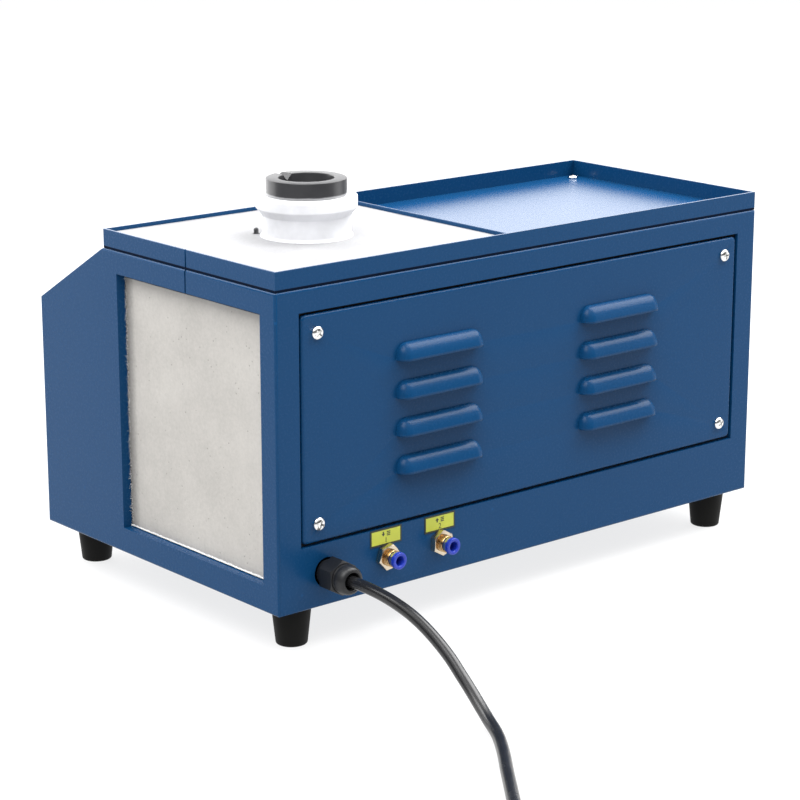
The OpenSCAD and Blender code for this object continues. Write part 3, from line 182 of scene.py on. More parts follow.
def turned_marks_group():
    """Fine rings left by a lathe tool, across the axis whose parts are given."""
    tree, place, given, result = effect_group(
        "turned_marks", {"Axis X": 0.0, "Axis Y": 0.0, "Axis Z": 1.0, "Scale": 2500.0}, ["Rings", "Tone"])
    axis = output(tree, "ShaderNodeCombineXYZ", {part: given["Axis " + part] for part in "XYZ"})
    along = add(tree, "ShaderNodeVectorMath", {0: place, 1: axis}, operation="DOT_PRODUCT").outputs["Value"]
    rings = output(tree, "ShaderNodeTexNoise", {"W": along, "Scale": given["Scale"], "Detail": 2.0},
                   noise_dimensions="1D")
    put(tree, result["Rings"], rings)
    put(tree, result["Tone"], patches(tree, place, 70.0))
    return tree


POWDER = powder_coat_group()
GRAIN = moulded_grain_group()
BOARD = fibre_board_group()
TURNED = turned_marks_group()


# Materials
def shade(colour, factor):
    return (*(min(1.0, c * factor) for c in colour), 1.0)


def finish_of(name, **sockets):
    made = bpy.data.materials.new(name)
    made.use_nodes = True
    tree = made.node_tree
    shader = tree.nodes["Principled BSDF"]
    for key, value in sockets.items():
        shader.inputs[key.replace("_", " ")].default_value = value
    return made, tree, shader.inputs


def effect(tree, group, **values):
    made = add(tree, "ShaderNodeGroup", node_tree=group)
    for key, value in values.items():
        made.inputs[key.replace("_", " ")].default_value = value
    return made.outputs


def bump(tree, sockets, height, depth, strength):
    dented = output(tree, "ShaderNodeBump", {"Height": height, "Distance": depth, "Strength": strength})
    put(tree, sockets["Normal"], dented)


def powder_coated(name, colour, roughness):
    made, tree, sockets = finish_of(name, IOR=1.24)
    coat = effect(tree, POWDER)
    tone = blended(tree, coat["Tone"], shade(colour, 0.985), shade(colour, 1.015))
    put(tree, sockets["Base Color"], blended(tree, coat["Fleck"], tone, shade(colour, 1.5)))
    put(tree, sockets["Roughness"], spread(tree, coat["Peel"], 0.3, 0.7, roughness - 0.01, roughness + 0.01))
    bump(tree, sockets, coat["Peel"], 0.00003, 0.5)
    return made


def moulded(name, colour, roughness, grain=0.00003, scale=900.0, **more):
    made, tree, sockets = finish_of(name, **more)
    skin = effect(tree, GRAIN, Scale=scale)
    put(tree, sockets["Base Color"], blended(tree, skin["Tone"], shade(colour, 0.9), shade(colour, 1.12)))
    put(tree, sockets["Roughness"], spread(tree, skin["Tone"], 0.0, 1.0, roughness - 0.05, roughness + 0.06))
    bump(tree, sockets, skin["Height"], grain, 0.6)
    return made


def turned_metal(name, colour, roughness, axis, scale=2500.0):
    made, tree, sockets = finish_of(name, Metallic=1.0, IOR=1.5)
    marks = effect(tree, TURNED, Axis_X=axis[0], Axis_Y=axis[1], Axis_Z=axis[2], Scale=scale)
    put(tree, sockets["Base Color"], blended(tree, marks["Tone"], shade(colour, 0.92), shade(colour, 1.06)))
    rough = spread(tree, marks["Rings"], 0.3, 0.7, roughness - 0.05, roughness + 0.07)
    put(tree, sockets["Roughness"], rough)
    bump(tree, sockets, marks["Rings"], 0.00002, 0.5)
    return made


def insulating_board(name, colour, pit_colour, grain, pits, fibres,
                     roughness=0.85, pit_scale=130.0, shade_from=None):
    """Pressed fibre board; where a y is given for one edge, painted shade darkens the board near that edge,
    as the frame shades it.
    """
    made, tree, sockets = finish_of(name, Specular_IOR_Level=0.2)
    board = effect(tree, BOARD, Pit_Scale=pit_scale)
    broad = calc(tree, "MULTIPLY", board["Tone"], 0.35)
    sand = calc(tree, "ADD", broad, calc(tree, "MULTIPLY", board["Height"], 0.65))
    tone = blended(tree, spread(tree, sand, 0.25, 0.75), shade(colour, 0.87), shade(colour, 1.11))
    hairs = blended(tree, calc(tree, "MULTIPLY", board["Fibres"], fibres), tone, shade(colour, 1.22))
    pitted = blended(tree, calc(tree, "MULTIPLY", board["Pits"], pits), hairs, (*pit_colour, 1))
    if shade_from is not None:
        # Painted shade: darker towards the given edge, over about a centimetre, with a ragged border
        ragged = calc(tree, "ADD", along_axis(tree, 1), calc(tree, "MULTIPLY", board["Height"], 0.004))
        edge_shade = spread(tree, ragged, shade_from + 0.0125, shade_from + 0.0025)
        pitted = blended(tree, calc(tree, "MULTIPLY", edge_shade, 0.8), pitted, shade(colour, 0.3))
    put(tree, sockets["Base Color"], pitted)
    put(tree, sockets["Roughness"], spread(tree, board["Tone"], 0.0, 1.0, roughness - 0.06, roughness + 0.05))
    bump(tree, sockets, calc(tree, "SUBTRACT", board["Height"], board["Pits"]), grain, 0.7)
    return made


def machined_graphite(name, band_low, band_high):
    """Dark turned graphite with a smoother side than its faced rim, and a paler band between two heights."""
    made, tree, sockets = finish_of(name, IOR=1.7)
    marks = effect(tree, TURNED, Scale=900.0)
    ragged = calc(tree, "ADD", along_axis(tree, 2), calc(tree, "MULTIPLY", marks["Tone"], 0.0005))
    above = spread(tree, ragged, band_low - 0.0004, band_low)
    below = spread(tree, ragged, band_high, band_high - 0.0008)
    pale_band = calc(tree, "MULTIPLY", calc(tree, "MULTIPLY", above, below), 0.8)
    dark = blended(tree, marks["Tone"], (0.024, 0.024, 0.027, 1), (0.033, 0.033, 0.036, 1))
    put(tree, sockets["Base Color"], blended(tree, pale_band, dark, (0.36, 0.36, 0.37, 1)))
    put(tree, sockets["Roughness"], spread(tree, along_axis(tree, 2, "Normal"), 0.5, 0.9, 0.3, 0.5))
    bump(tree, sockets, marks["Rings"], 0.000004, 0.4)
    return made


def lens_row(name):
    """Red, green and amber lenses, told apart by where they stand along the panel."""
    made, tree, sockets = finish_of(name, Roughness=0.12, Coat_Weight=0.6)
    skin = effect(tree, GRAIN, Scale=300.0)
    across = along_axis(tree, 0)
    past_red = calc(tree, "GREATER_THAN", across, RED_UP_TO)
    past_green = calc(tree, "GREATER_THAN", across, GREEN_UP_TO)
    red_green = blended(tree, past_red, (0.5, 0.012, 0.01, 1), (0.02, 0.34, 0.06, 1))
    colour = blended(tree, past_green, red_green, (0.72, 0.25, 0.01, 1))
    put(tree, sockets["Base Color"], colour)
    bump(tree, sockets, skin["Height"], 0.00002, 0.4)
    return made


def lit_segments(name):
    made, tree, sockets = finish_of(name, Roughness=0.4, Emission_Strength=2.2)
    skin = effect(tree, GRAIN, Scale=500.0)
    colour = blended(tree, skin["Tone"], (0.85, 0.03, 0.02, 1), (1.0, 0.06, 0.03, 1))
    put(tree, sockets["Base Color"], colour)
    put(tree, sockets["Emission Color"], colour)
    return made


Y_AXIS = (0, 1, 0)
Z_AXIS = (0, 0, 1)
LENS_PITCH = 0.0225
RED_UP_TO = middle("lamp_lenses").x - LENS_PITCH / 2
GREEN_UP_TO = RED_UP_TO + LENS_PITCH
CUP_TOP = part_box("crucible")[1].z
# Heights between which the crucible's side is painted paler
PALE_BAND_LOW = CUP_TOP - 0.0118
PALE_BAND_HIGH = CUP_TOP - 0.0094
finishes = {
    "blue_coat": powder_coated("blue_powder_coat", (0.0039, 0.0480, 0.1370), 0.27),
    "panel_coat": powder_coated("dark_panel_coat", (0.020, 0.023, 0.028), 0.5),
    "screw": turned_metal("bright_plated_screw", (0.86, 0.86, 0.85), 0.16, Y_AXIS),
    "zinc": turned_metal("zinc_plate", (0.62, 0.62, 0.60), 0.38, Z_AXIS, 300.0),
    "foot": moulded("black_foot_rubber", (0.0035, 0.0035, 0.003), 0.55, IOR=1.25),
    "hearth": insulating_board("white_hearth_board", (0.325, 0.325, 0.334), (0.27, 0.27, 0.27),
                               0.00002, 0.1, 0.05, 0.7),
    "window_board": insulating_board("rough_window_board", (0.475, 0.458, 0.433), (0.14, 0.13, 0.12),
                                     0.0002, 0.5, 0.05, pit_scale=330.0, shade_from=WINDOW_LOW.x),
    "partition": insulating_board("partition_board", (0.52, 0.48, 0.42), (0.2, 0.18, 0.15), 0.0002, 0.6, 0.5),
    "brick": insulating_board("fire_brick", (0.66, 0.55, 0.38), (0.3, 0.22, 0.13), 0.0004, 0.8, 0.2),
    "fibre": insulating_board("ceramic_fibre", (0.86, 0.85, 0.82), (0.6, 0.58, 0.55), 0.0003, 0.3, 0.9),
    "ceramic": moulded("white_mouth_ceramic", (0.80, 0.805, 0.83), 0.45, 0.00003, 700.0),
    "graphite": machined_graphite("machined_graphite", PALE_BAND_LOW, PALE_BAND_HIGH),
    "brass": turned_metal("turned_brass", (0.56, 0.38, 0.19), 0.22, Y_AXIS),
    "pale_brass": turned_metal("pale_plated_brass", (0.66, 0.57, 0.44), 0.22, Y_AXIS),
    "pale_ring": turned_metal("pale_ring_metal", (0.80, 0.77, 0.70), 0.25, Y_AXIS),
    "blue_ring": moulded("blue_release_ring", (0.013, 0.038, 0.40), 0.3, 0.00001),
    "tape": moulded("yellow_label_tape", (0.47, 0.51, 0.048), 0.42, 0.00001),
    "ink": moulded("dark_label_ink", (0.018, 0.024, 0.012), 0.5, 0.00001),
    # Painted shade: a dark finish for strips that stand in for the shade in the window's and the cover's gaps
    "painted_gap_shade": moulded("window_gap_shade", (0.010, 0.011, 0.013), 0.8, 0.00005, IOR=1.2),
    # Painted shade: a dark navy finish for the strip that stands in for the shade in the tray's groove
    "seal": moulded("dark_seal_rubber", (0.0008, 0.005, 0.018), 0.8, 0.00005, IOR=1.15),
    "nylon": moulded("black_gland_nylon", (0.006, 0.0065, 0.008), 0.42, 0.00005, 700.0),
    "jacket": moulded("black_cord_jacket", (0.010, 0.010, 0.011), 0.24, 0.00002, 500.0),
    "strap": moulded("black_strap", (0.02, 0.02, 0.021), 0.75, 0.0002, 1400.0),
    "black": moulded("black_moulding", (0.012, 0.012, 0.013), 0.4),
    "red": moulded("red_rocker_moulding", (0.46, 0.018, 0.014), 0.26, 0.00001),
    "green_cap": moulded("green_button_cap", (0.018, 0.30, 0.07), 0.3, 0.00001),
    "red_cap": moulded("red_button_cap", (0.5, 0.016, 0.014), 0.3, 0.00001),
    "window": moulded("smoked_meter_window", (0.03, 0.003, 0.004), 0.1, 0.000005),
    "digits": lit_segments("lit_segments"),
    "lens": lens_row("lamp_lens_row"),
    "aluminium": turned_metal("turned_aluminium", (0.70, 0.71, 0.72), 0.3, SLOPE.to_3x3() @ Vector(Z_AXIS)),
    "mark": moulded("white_panel_mark", (0.78, 0.78, 0.76), 0.5, 0.00001),
    "copper": turned_metal("coil_copper", (0.72, 0.34, 0.18), 0.3, Z_AXIS, 900.0),
    "hose": moulded("blue_hose", (0.06, 0.15, 0.5), 0.25, 0.00001),
    "lacquer": moulded("circuit_lacquer", (0.012, 0.13, 0.045), 0.32, 0.0001, 300.0),
    "potting": moulded("blue_potting", (0.02, 0.06, 0.32), 0.35),
    "ferrite": moulded("ferrite_coat", (0.16, 0.11, 0.03), 0.45, 0.0001, 600.0),
    "cream": moulded("cream_terminal", (0.70, 0.68, 0.60), 0.35),
    "sealant": insulating_board("white_window_sealant", (0.84, 0.83, 0.81), (0.5, 0.48, 0.45),
                                0.0002, 0.4, 0.8),
}


# Meshes
def new_object(name, data):
    made = bpy.data.objects.new(name, data)
    scene.collection.objects.link(made)
    return made


def final_mesh(holder):
    """The mesh that an object's modifiers leave; the object itself is removed."""
    mesh = bpy.data.meshes.new_from_object(holder.evaluated_get(bpy.context.evaluated_depsgraph_get()))
    bpy.data.objects.remove(holder)
    return mesh


def keep(name, mesh, finish, smooth_angle=0.6):
    """Link a mesh as a piece with its finish and rounded shading up to the given angle."""
    mesh.name = name
    mesh.materials.append(finishes[finish])
    mesh.shade_smooth()
    mesh.set_sharp_from_angle(angle=smooth_angle)
    return new_object(name, mesh)


def mesh_of(shape):
    mesh = bpy.data.meshes.new("shape")
    shape.to_mesh(mesh)
    shape.free()
    return mesh


def polar(radius, turn, up=0.0):
    return Vector((radius * math.cos(turn), radius * math.sin(turn), up))


def join_rings(shape, low, high):
    """Faces between two closed rows of vertices, either of which may be a single tip."""
    for k in range(max(len(low), len(high))):
        after = k + 1
        corners = [low[k % len(low)], low[after % len(low)], high[after % len(high)], high[k % len(high)]]
        corners = list(dict.fromkeys(corners))
        if len(corners) > 2:
            shape.faces.new(corners)


def lathe(shape, profile, place, segments=96):
    """Turn a closed profile of radius and height pairs round the z axis of place."""
    rings = []
    for radius, height in profile:
        count = 1 if radius < 1e-7 else segments
        turns = [2 * math.pi * k / segments for k in range(count)]
        rings.append([shape.verts.new(place @ polar(radius, turn, height)) for turn in turns])
    for low, high in zip(rings, rings[1:] + rings[:1]):
        join_rings(shape, low, high)


def hexagon_nut(shape, across, bore, height, place, chamfer, segments=96):
    """A hexagon with its outer corners turned off to a cone, round a plain bore."""
    half = across / 2
    rings = [[], [], [], [], []]
    for k in range(segments):
        turn = 2 * math.pi * k / segments
        wide = half / math.cos((turn % (math.pi / 3)) - math.pi / 6)
        drop = max(0.0, wide - chamfer) * math.tan(math.radians(30))
        spots = [(bore, 0.0), (wide, 0.0), (wide, height - drop), (min(wide, chamfer), height),
                 (bore, height)]
        for ring, (radius, up) in zip(rings, spots):
            ring.append(shape.verts.new(place @ polar(radius, turn, up)))
    for low, high in zip(rings, rings[1:] + rings[:1]):
        join_rings(shape, low, high)


def prism(shape, outline, low, high, place):
    """A flat outline made solid between two heights of place."""
    rings = [[shape.verts.new(place @ Vector((x, y, z))) for x, y in outline] for z in (low, high)]
    shape.faces.new(rings[1])
    shape.faces.new(rings[0][::-1])
    join_rings(shape, *rings)


def bar(shape, centre, size, low, high, place):
    x, y = centre
    w, h = size[0] / 2, size[1] / 2
    prism(shape, [(x - w, y - h), (x + w, y - h), (x + w, y + h), (x - w, y + h)], low, high, place)


def outward(shape):
    bmesh.ops.remove_doubles(shape, verts=shape.verts, dist=1e-7)
    bmesh.ops.recalc_face_normals(shape, faces=shape.faces)


def lettering(text, height, place, thickness):
    """Digits as a mesh, centred on place and standing a little proud of it."""
    curve = bpy.data.curves.new("digits", "FONT")
    curve.body = text
    curve.size = height / 0.72
    curve.align_x = "CENTER"
    curve.align_y = "CENTER"
    curve.extrude = thickness
    mesh = final_mesh(new_object("digits", curve))
    bpy.data.curves.remove(curve)
    mesh.transform(place)
    return mesh


def take(shape, mesh):
    """Add a mesh to a shape, all of which has one finish."""
    shape.from_mesh(mesh)
    bpy.data.meshes.remove(mesh)
    for face in shape.faces:
        face.material_index = 0


# Geometry Nodes trees
def geometry_tree(name, sizes):
    tree = bpy.data.node_groups.new(name, "GeometryNodeTree")
    tree.interface.new_socket("Geometry", in_out="INPUT", socket_type="NodeSocketGeometry")
    for key, value in sizes.items():
        kind = "NodeSocketInt" if isinstance(value, int) else "NodeSocketFloat"
        tree.interface.new_socket(key, in_out="INPUT", socket_type=kind).default_value = value
    tree.interface.new_socket("Geometry", in_out="OUTPUT", socket_type="NodeSocketGeometry")
    return tree, add(tree, "NodeGroupInput").outputs, add(tree, "NodeGroupOutput").inputs


def smooth_solid_tree():
    """Joins a solid's loose triangles and rounds its shading up to an angle."""
    tree, given, result = geometry_tree("smooth_solid", {"Sharp Angle": 0.6})
    joined = output(tree, "GeometryNodeMergeByDistance", {"Geometry": given["Geometry"], "Distance": 1e-6})
    bare = output(tree, "GeometryNodeRemoveAttribute", {"Geometry": joined, "Name": "custom_normal"})
    angle = output(tree, "GeometryNodeInputMeshEdgeAngle")
    sharp = output(tree, "FunctionNodeCompare", {0: angle, 1: given["Sharp Angle"]}, operation="GREATER_THAN")
    soft = output(tree, "GeometryNodeSetShadeSmooth", {"Geometry": bare}, domain="FACE")
    edged = output(tree, "GeometryNodeSetShadeSmooth",
                   {"Geometry": soft, "Selection": sharp, "Shade Smooth": False}, domain="EDGE")
    put(tree, result["Geometry"], edged)
    return tree


SMOOTH = smooth_solid_tree()


# Radius of the bent or moulded edges, in metres
EDGE_RADIUS = {
    0.0007: "case_shell top_tray",
    0.0004: "tray_divider power_rocker",
    0.0005: "switch_frame start_button stop_button button_bodies lamp_bezels meter_window",
    0.0009: "panel_meter plug_body",
}
rounded = {name: radius for radius, names in EDGE_RADIUS.items() for name in names.split()}


def dress(node, finish):
    """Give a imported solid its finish, its rounded edges and even shading."""
    piece = solids[node]
    for slot in piece.material_slots:
        slot.material = finishes[finish]
    piece.modifiers.new("smooth_solid", "NODES").node_group = SMOOTH
    if node in rounded:
        edge = piece.modifiers.new("rounded_edges", "BEVEL")
        edge.width = rounded[node]
        edge.segments = 2
        edge.limit_method = "ANGLE"
        edge.angle_limit = math.radians(40)
    piece.modifiers.new("even_normals", "WEIGHTED_NORMAL").keep_sharp = True


FEET = "foot_front_left foot_rear_left foot_front_right foot_rear_right"
node_finishes = {
    "blue_coat": "case_shell rear_cover top_tray tray_divider",
    "panel_coat": "control_panel",
    "screw": "control_panel_screws rear_cover_screws top_tray_screws",
    "zinc": "foot_screws end_board_rails",
    "foot": FEET,
    "hearth": "hearth_board",
    "window_board": "end_board",
    "partition": "partition_board",
    "brick": "furnace_bricks furnace_liner",
    "fibre": "coil_insulation",
    "ceramic": "mouth_collar",
    "graphite": "crucible",
    "brass": "plug_pins inlet_body outlet_body",
    "pale_brass": "inlet_nut outlet_nut",
    "blue_ring": "inlet_collet outlet_collet",
    "tape": "water_labels",
    "nylon": "gland_body gland_cap gland_locknut plug_body",
    "jacket": "gland_seal mains_lead power_cord cord_coil",
    "strap": "cord_tie",
    "black": "switch_frame panel_meter power_knob power_transistors fan_frame fan_rotor",
    "red": "power_rocker",
    "green_cap": "start_button",
    "red_cap": "stop_button",
    "window": "meter_window",
    "lens": "lamp_lenses",
    "aluminium": "button_bodies lamp_bezels potentiometer heat_sink",
    "copper": "induction_coil",
    "hose": "water_hoses",
    "lacquer": "inverter_board",
    "potting": "tank_capacitors",
    "ferrite": "filter_choke",
    "cream": "terminal_block",
}
for finish, names in node_finishes.items():
    for name in names.split():
        dress(name, finish)


# The mains cord: the route that the solids follow, then the coil
CORD_R = 0.004
CORD_LIFT = 0.0009
# Millimetres sideways and outwards from the gland's mouth, and above the bench
CORD_ROUTE = [
    (0, 0, 51), (0, 12, 51), (0, 27, 50.2), (0, 42, 48.2), (0, 57, 44.9), (0.5, 71, 40.4), (1.5, 85, 34.7),
    (3, 99, 28), (5.5, 112, 21.2), (8.5, 125, 15), (12.5, 138, 9.8), (17.5, 151, 6.2), (23.5, 164, 4.6),
    (31, 176, 4.2), (43.5, 193, 4.2), (57, 210, 4.2), (70.5, 227.5, 4.2), (84, 245, 4.3), (97, 263.5, 4.4),
    (110, 283, 4.6), (122.5, 303.5, 4.8), (133.5, 324, 4.9)]
MOUTH = Vector((GLAND_X, MOUTH_Y, 0.0))
COIL_CENTRE = MOUTH + Vector((0.1005, 0.379, 0.0))
COIL_R = 0.052
COIL_STEP = 0.0087
COIL_FROM = math.radians(-25)
COIL_TURN = math.radians(4 * 360 + 115)
COIL_TAIL = 0.024
COIL_COUNT = 220


def coil_point(turn):
    """A point of the coil, which winds in, climbs one layer in half a turn and winds out again."""
    radius = COIL_R - COIL_STEP * min(turn, COIL_TURN - turn) / (2 * math.pi)
    climb = min(max((turn - COIL_TURN / 2 + math.pi / 2) / math.pi, 0), 1)
    height = CORD_R + CORD_LIFT + COIL_STEP * climb * climb * (3 - 2 * climb)
    return COIL_CENTRE + polar(radius, COIL_FROM + turn, height)


def heading(turn):
    """Level direction in which the coil runs at a turn."""
    angle = COIL_FROM + turn
    return Vector((-math.sin(angle), math.cos(angle), 0))


def smooth_line(points, steps):
    """Points along a curve that passes through all the given ones."""
    made = []
    padded = [2 * points[0] - points[1], *points, 2 * points[-1] - points[-2]]
    for a, b, c, d in zip(padded, padded[1:], padded[2:], padded[3:]):
        for k in range(steps):
            t = k / steps
            made.append(0.5 * (2 * b + (c - a) * t + (2 * a - 5 * b + 4 * c - d) * t * t
                               + (3 * b - a - 3 * c + d) * t * t * t))
    return made + [points[-1]]


def tube(name, points, radius, finish):
    curve = bpy.data.curves.new(name, "CURVE")
    curve.dimensions = "3D"
    curve.bevel_depth = radius
    curve.bevel_resolution = 6
    curve.use_fill_caps = True
    line = curve.splines.new("POLY")
    line.points.add(len(points) - 1)
    for spot, point in zip(line.points, points):
        spot.co = (*point, 1)
    line.use_smooth = True
    curve.materials.append(finishes[finish])
    return new_object(name, curve)


coil_start = coil_point(0) - 2 * CORD_R * heading(0)
free_points = [MOUTH + Vector(p) * 0.001 for p in CORD_ROUTE]
free_points += [coil_start - 3 * CORD_R * heading(0), coil_start]
coil_points = [coil_point(COIL_TURN * k / COIL_COUNT) for k in range(COIL_COUNT + 1)]
cord_points = smooth_line(free_points, 3) + coil_points + [coil_points[-1] + COIL_TAIL * heading(COIL_TURN)]
cord = tube("mains_cord", cord_points, CORD_R, "jacket")
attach(cord, "case")
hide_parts("power_cord", "cord_coil")


def settled(name, shape, finish, body, node=None, smooth_angle=0.6):
    """Finish a shape as a piece that rides on a body, and stands for a solid where one is named."""
    outward(shape)
    piece = keep(name, mesh_of(shape), finish, smooth_angle)
    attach(piece, body)
    if node:
        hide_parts(node)


def turned_piece(name, profile, place, finish, body, node=None, smooth_angle=0.6, segments=96):
    """A piece turned from a profile round the z axis of place."""
    shape = bmesh.new()
    lathe(shape, profile, place, segments)
    settled(name, shape, finish, body, node, smooth_angle)


# Rear cover: one sheet folded at its edges, with louvres pressed out of it
GAP_EXTRA = Vector((0.0004, 0.0, 0.0004))
SEAT_LOW, SEAT_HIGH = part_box("rear_cover")
COVER_LOW = SEAT_LOW + GAP_EXTRA
COVER_HIGH = SEAT_HIGH - GAP_EXTRA
COVER_SCREWS = [(x, z) for x in (-0.192, 0.192) for z in (0.0855, 0.214)]
COVER_HOLE_R = 0.0027
COVER_CORNER = 0.0035
COVER_BEND = 0.002
SHEET = 0.0015
LOUVRE_BANKS = (0.088, -0.082)
LOUVRE_LIPS = (0.107, 0.133, 0.159, 0.185)
LOUVRE_LENGTH = 0.075
LOUVRE_HEIGHT = 0.0114
LOUVRE_DEPTH = 0.0088
LOUVRE_END = 0.0085
LOUVRE_LEAN = 0.24
LOUVRE_RISE = 0.85
LOUVRE_CURVE = 0.8
LOUVRE_STEPS = 14
LOUVRE_POWER = 2.2


def rounded_rectangle(low, high, radius, steps=6):
    points = []
    for quarter, (right, top) in enumerate(((1, 1), (0, 1), (0, 0), (1, 0))):
        x = high[0] - radius if right else low[0] + radius
        y = high[1] - radius if top else low[1] + radius
        for k in range(steps + 1):
            turn = math.pi / 2 * (quarter + k / steps)
            points.append((x + radius * math.cos(turn), y + radius * math.sin(turn)))
    return points


def louvre_columns():
    """Places along a louvre, closer together towards its ends."""
    plain = LOUVRE_LENGTH / 2 - LOUVRE_END
    half = [plain + LOUVRE_END * math.sin(math.pi / 2 * k / LOUVRE_STEPS) for k in range(LOUVRE_STEPS + 1)]
    return [-along for along in reversed(half)] + half


def louvre_share(along):
    """How much of its full height and depth a louvre has at a place along it."""
    past = max(0.0, (abs(along) - LOUVRE_LENGTH / 2 + LOUVRE_END) / LOUVRE_END)
    return max(0.0, 1 - past ** LOUVRE_POWER) ** (1 / LOUVRE_POWER)


def louvre_reach(turn):
    """How far a louvre stands out between its lip and its root: a leaning face below a round shoulder."""
    shoulder = (1 - LOUVRE_LEAN) * math.cos(turn) ** LOUVRE_CURVE
    return shoulder + LOUVRE_LEAN * (1 - math.sin(turn) ** LOUVRE_RISE)


def press_louvre(shape, x, lip):
    """A louvre's skin from its lip to its root, and the edges of the hole it leaves in the sheet."""
    columns = []
    for along in louvre_columns():
        share = louvre_share(along)
        count = LOUVRE_STEPS if share > 1e-4 else 0
        column = []
        for t in (math.pi / 2 * k / LOUVRE_STEPS for k in range(count + 1)):
            out = LOUVRE_DEPTH * share * louvre_reach(t)
            up = LOUVRE_HEIGHT * share * math.sin(t) ** LOUVRE_RISE
            column.append(shape.verts.new((x + along, REAR_Y + out, lip + up)))
        columns.append(column)
    for left, right in zip(columns, columns[1:]):
        for k in range(LOUVRE_STEPS):
            corners = [left[min(k, len(left) - 1)], right[min(k, len(right) - 1)],
                       right[min(k + 1, len(right) - 1)], left[min(k + 1, len(left) - 1)]]
            shape.faces.new(list(dict.fromkeys(corners)))
    roots = [column[-1] for column in columns]
    for vertex in roots:
        vertex.co.y = REAR_Y
    return [shape.edges.get(pair) or shape.edges.new(pair) for pair in zip(roots, roots[1:] + roots[:1])]


def ring_edges(shape, points):
    spots = [shape.verts.new(point) for point in points]
    return [shape.edges.new(pair) for pair in zip(spots, spots[1:] + spots[:1])], spots


def pressed_rear_cover():
    shape = bmesh.new()
    depth = REAR_Y - COVER_LOW.y
    folds = [(COVER_BEND * (1 - math.sin(t)), COVER_BEND * (1 - math.cos(t)))
             for t in (math.pi / 2 * k / 6 for k in range(7))] + [(0.0, depth)]
    rings = []
    for inset, drop in folds:
        outline = rounded_rectangle((COVER_LOW.x + inset, COVER_LOW.z + inset),
                                    (COVER_HIGH.x - inset, COVER_HIGH.z - inset), COVER_CORNER - inset)
        rings.append(ring_edges(shape, [(x, REAR_Y - drop, z) for x, z in outline]))
    for (_, inner), (_, outer) in zip(rings, rings[1:]):
        join_rings(shape, inner, outer)
    borders = list(rings[0][0])
    for x in LOUVRE_BANKS:
        for lip in LOUVRE_LIPS:
            borders += press_louvre(shape, x, lip)
    for x, z in COVER_SCREWS:
        hole = [polar(COVER_HOLE_R, k * math.pi / 12) for k in range(24)]
        borders += ring_edges(shape, [(x + spot.x, REAR_Y, z + spot.y) for spot in hole])[0]
    bmesh.ops.triangle_fill(shape, use_beauty=True, use_dissolve=False, edges=borders, normal=(0, 1, 0))
    bmesh.ops.recalc_face_normals(shape, faces=shape.faces)
    widest = max(shape.faces, key=lambda face: face.calc_area())
    if widest.normal.y < 0:
        bmesh.ops.reverse_faces(shape, faces=shape.faces)
    piece = keep("pressed_rear_cover", mesh_of(shape), "blue_coat", 0.7)
    wall = piece.modifiers.new("sheet_thickness", "SOLIDIFY")
    wall.thickness = SHEET
    wall.offset = -1.0
    wall.use_even_offset = True
    piece.modifiers.new("even_normals", "WEIGHTED_NORMAL").keep_sharp = True
    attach(piece, "case")
    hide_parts("rear_cover")


pressed_rear_cover()


# Painted shade: dark strips at the bottom of the cover's gap and in the groove that the tray's bend leaves,
# standing in for the shade there
COVER_SHADE_WIDE = 0.0022
COVER_SHADE_UP = 0.0003
COVER_SHADE_THICK = 0.0004
TRAY_SHADE_BACK = 0.00005
TRAY_SHADE_WIDE = 0.0012
TRAY_SHADE_TALL = 0.0015


def seal_frame(name, finish, half_x, half_y, wide, low, high, place):
    """Four strips of one width whose outer sides are the given half lengths from the middle of place."""
    shape = bmesh.new()
    for side in (-1, 1):
        bar(shape, (0, side * (half_y - wide / 2)), (2 * half_x, wide), low, high, place)
    for side in (-1, 1):
        bar(shape, (side * (half_x - wide / 2), 0), (wide, 2 * (half_y - wide)), low, high, place)
    settled(name, shape, finish, "case", smooth_angle=0.3)


seat_half = (SEAT_HIGH - SEAT_LOW) / 2
seat_middle = middle("rear_cover")
seat_place = Matrix.Translation((seat_middle.x, SEAT_LOW.y + COVER_SHADE_UP, seat_middle.z))
seal_frame("cover_gap_seal", "painted_gap_shade", seat_half.x + COVER_SHADE_WIDE / 2, seat_half.z + COVER_SHADE_WIDE / 2,
           COVER_SHADE_WIDE, -COVER_SHADE_THICK / 2, COVER_SHADE_THICK / 2,
           seat_place @ Matrix.Rotation(math.pi / 2, 4, "X"))
TRAY_LOW, TRAY_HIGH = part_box("top_tray")
tray_half = (TRAY_HIGH - TRAY_LOW) / 2
seal_frame("tray_groove_seal", "seal", tray_half.x - TRAY_SHADE_BACK, tray_half.y - TRAY_SHADE_BACK,
           TRAY_SHADE_WIDE, 0.0, TRAY_SHADE_TALL, Matrix.Translation((*middle("top_tray").xy, TRAY_LOW.z)))


# Water fittings: bulkhead nut, threaded body and the ring that lets the hose go
NUT_ACROSS = 0.016
NUT_HEIGHT = 0.005
NUT_CHAMFER = 0.0002
BODY_R = 0.006
BODY_GAP = 0.0001
THREAD_TURNS = 5
THREAD_FROM = 0.0049
THREAD_PITCH = 0.0006


def millimetres(pairs):
    """Radius and height pairs, given in millimetres, in metres."""
    return [(radius * 0.001, height * 0.001) for radius, height in pairs]


def fitting_body_profile(low):
    """Section of a threaded body from a lower end, which is given in millimetres."""
    thread = []
    for k in range(THREAD_TURNS):
        foot = (THREAD_FROM + THREAD_PITCH * k) * 1000
        thread += [(6.0, foot), (6.0, foot + 0.16), (5.62, foot + 0.32), (5.62, foot + 0.44)]
    mouth = [(5.9, 8.0), (5.9, 8.7), (5.7, 9.0), (5.4, 9.0), (5.35, 8.9), (5.35, 7.8), (4.5, 7.8)]
    return millimetres([(4.5, low), (6.0, low)] + thread + mouth)


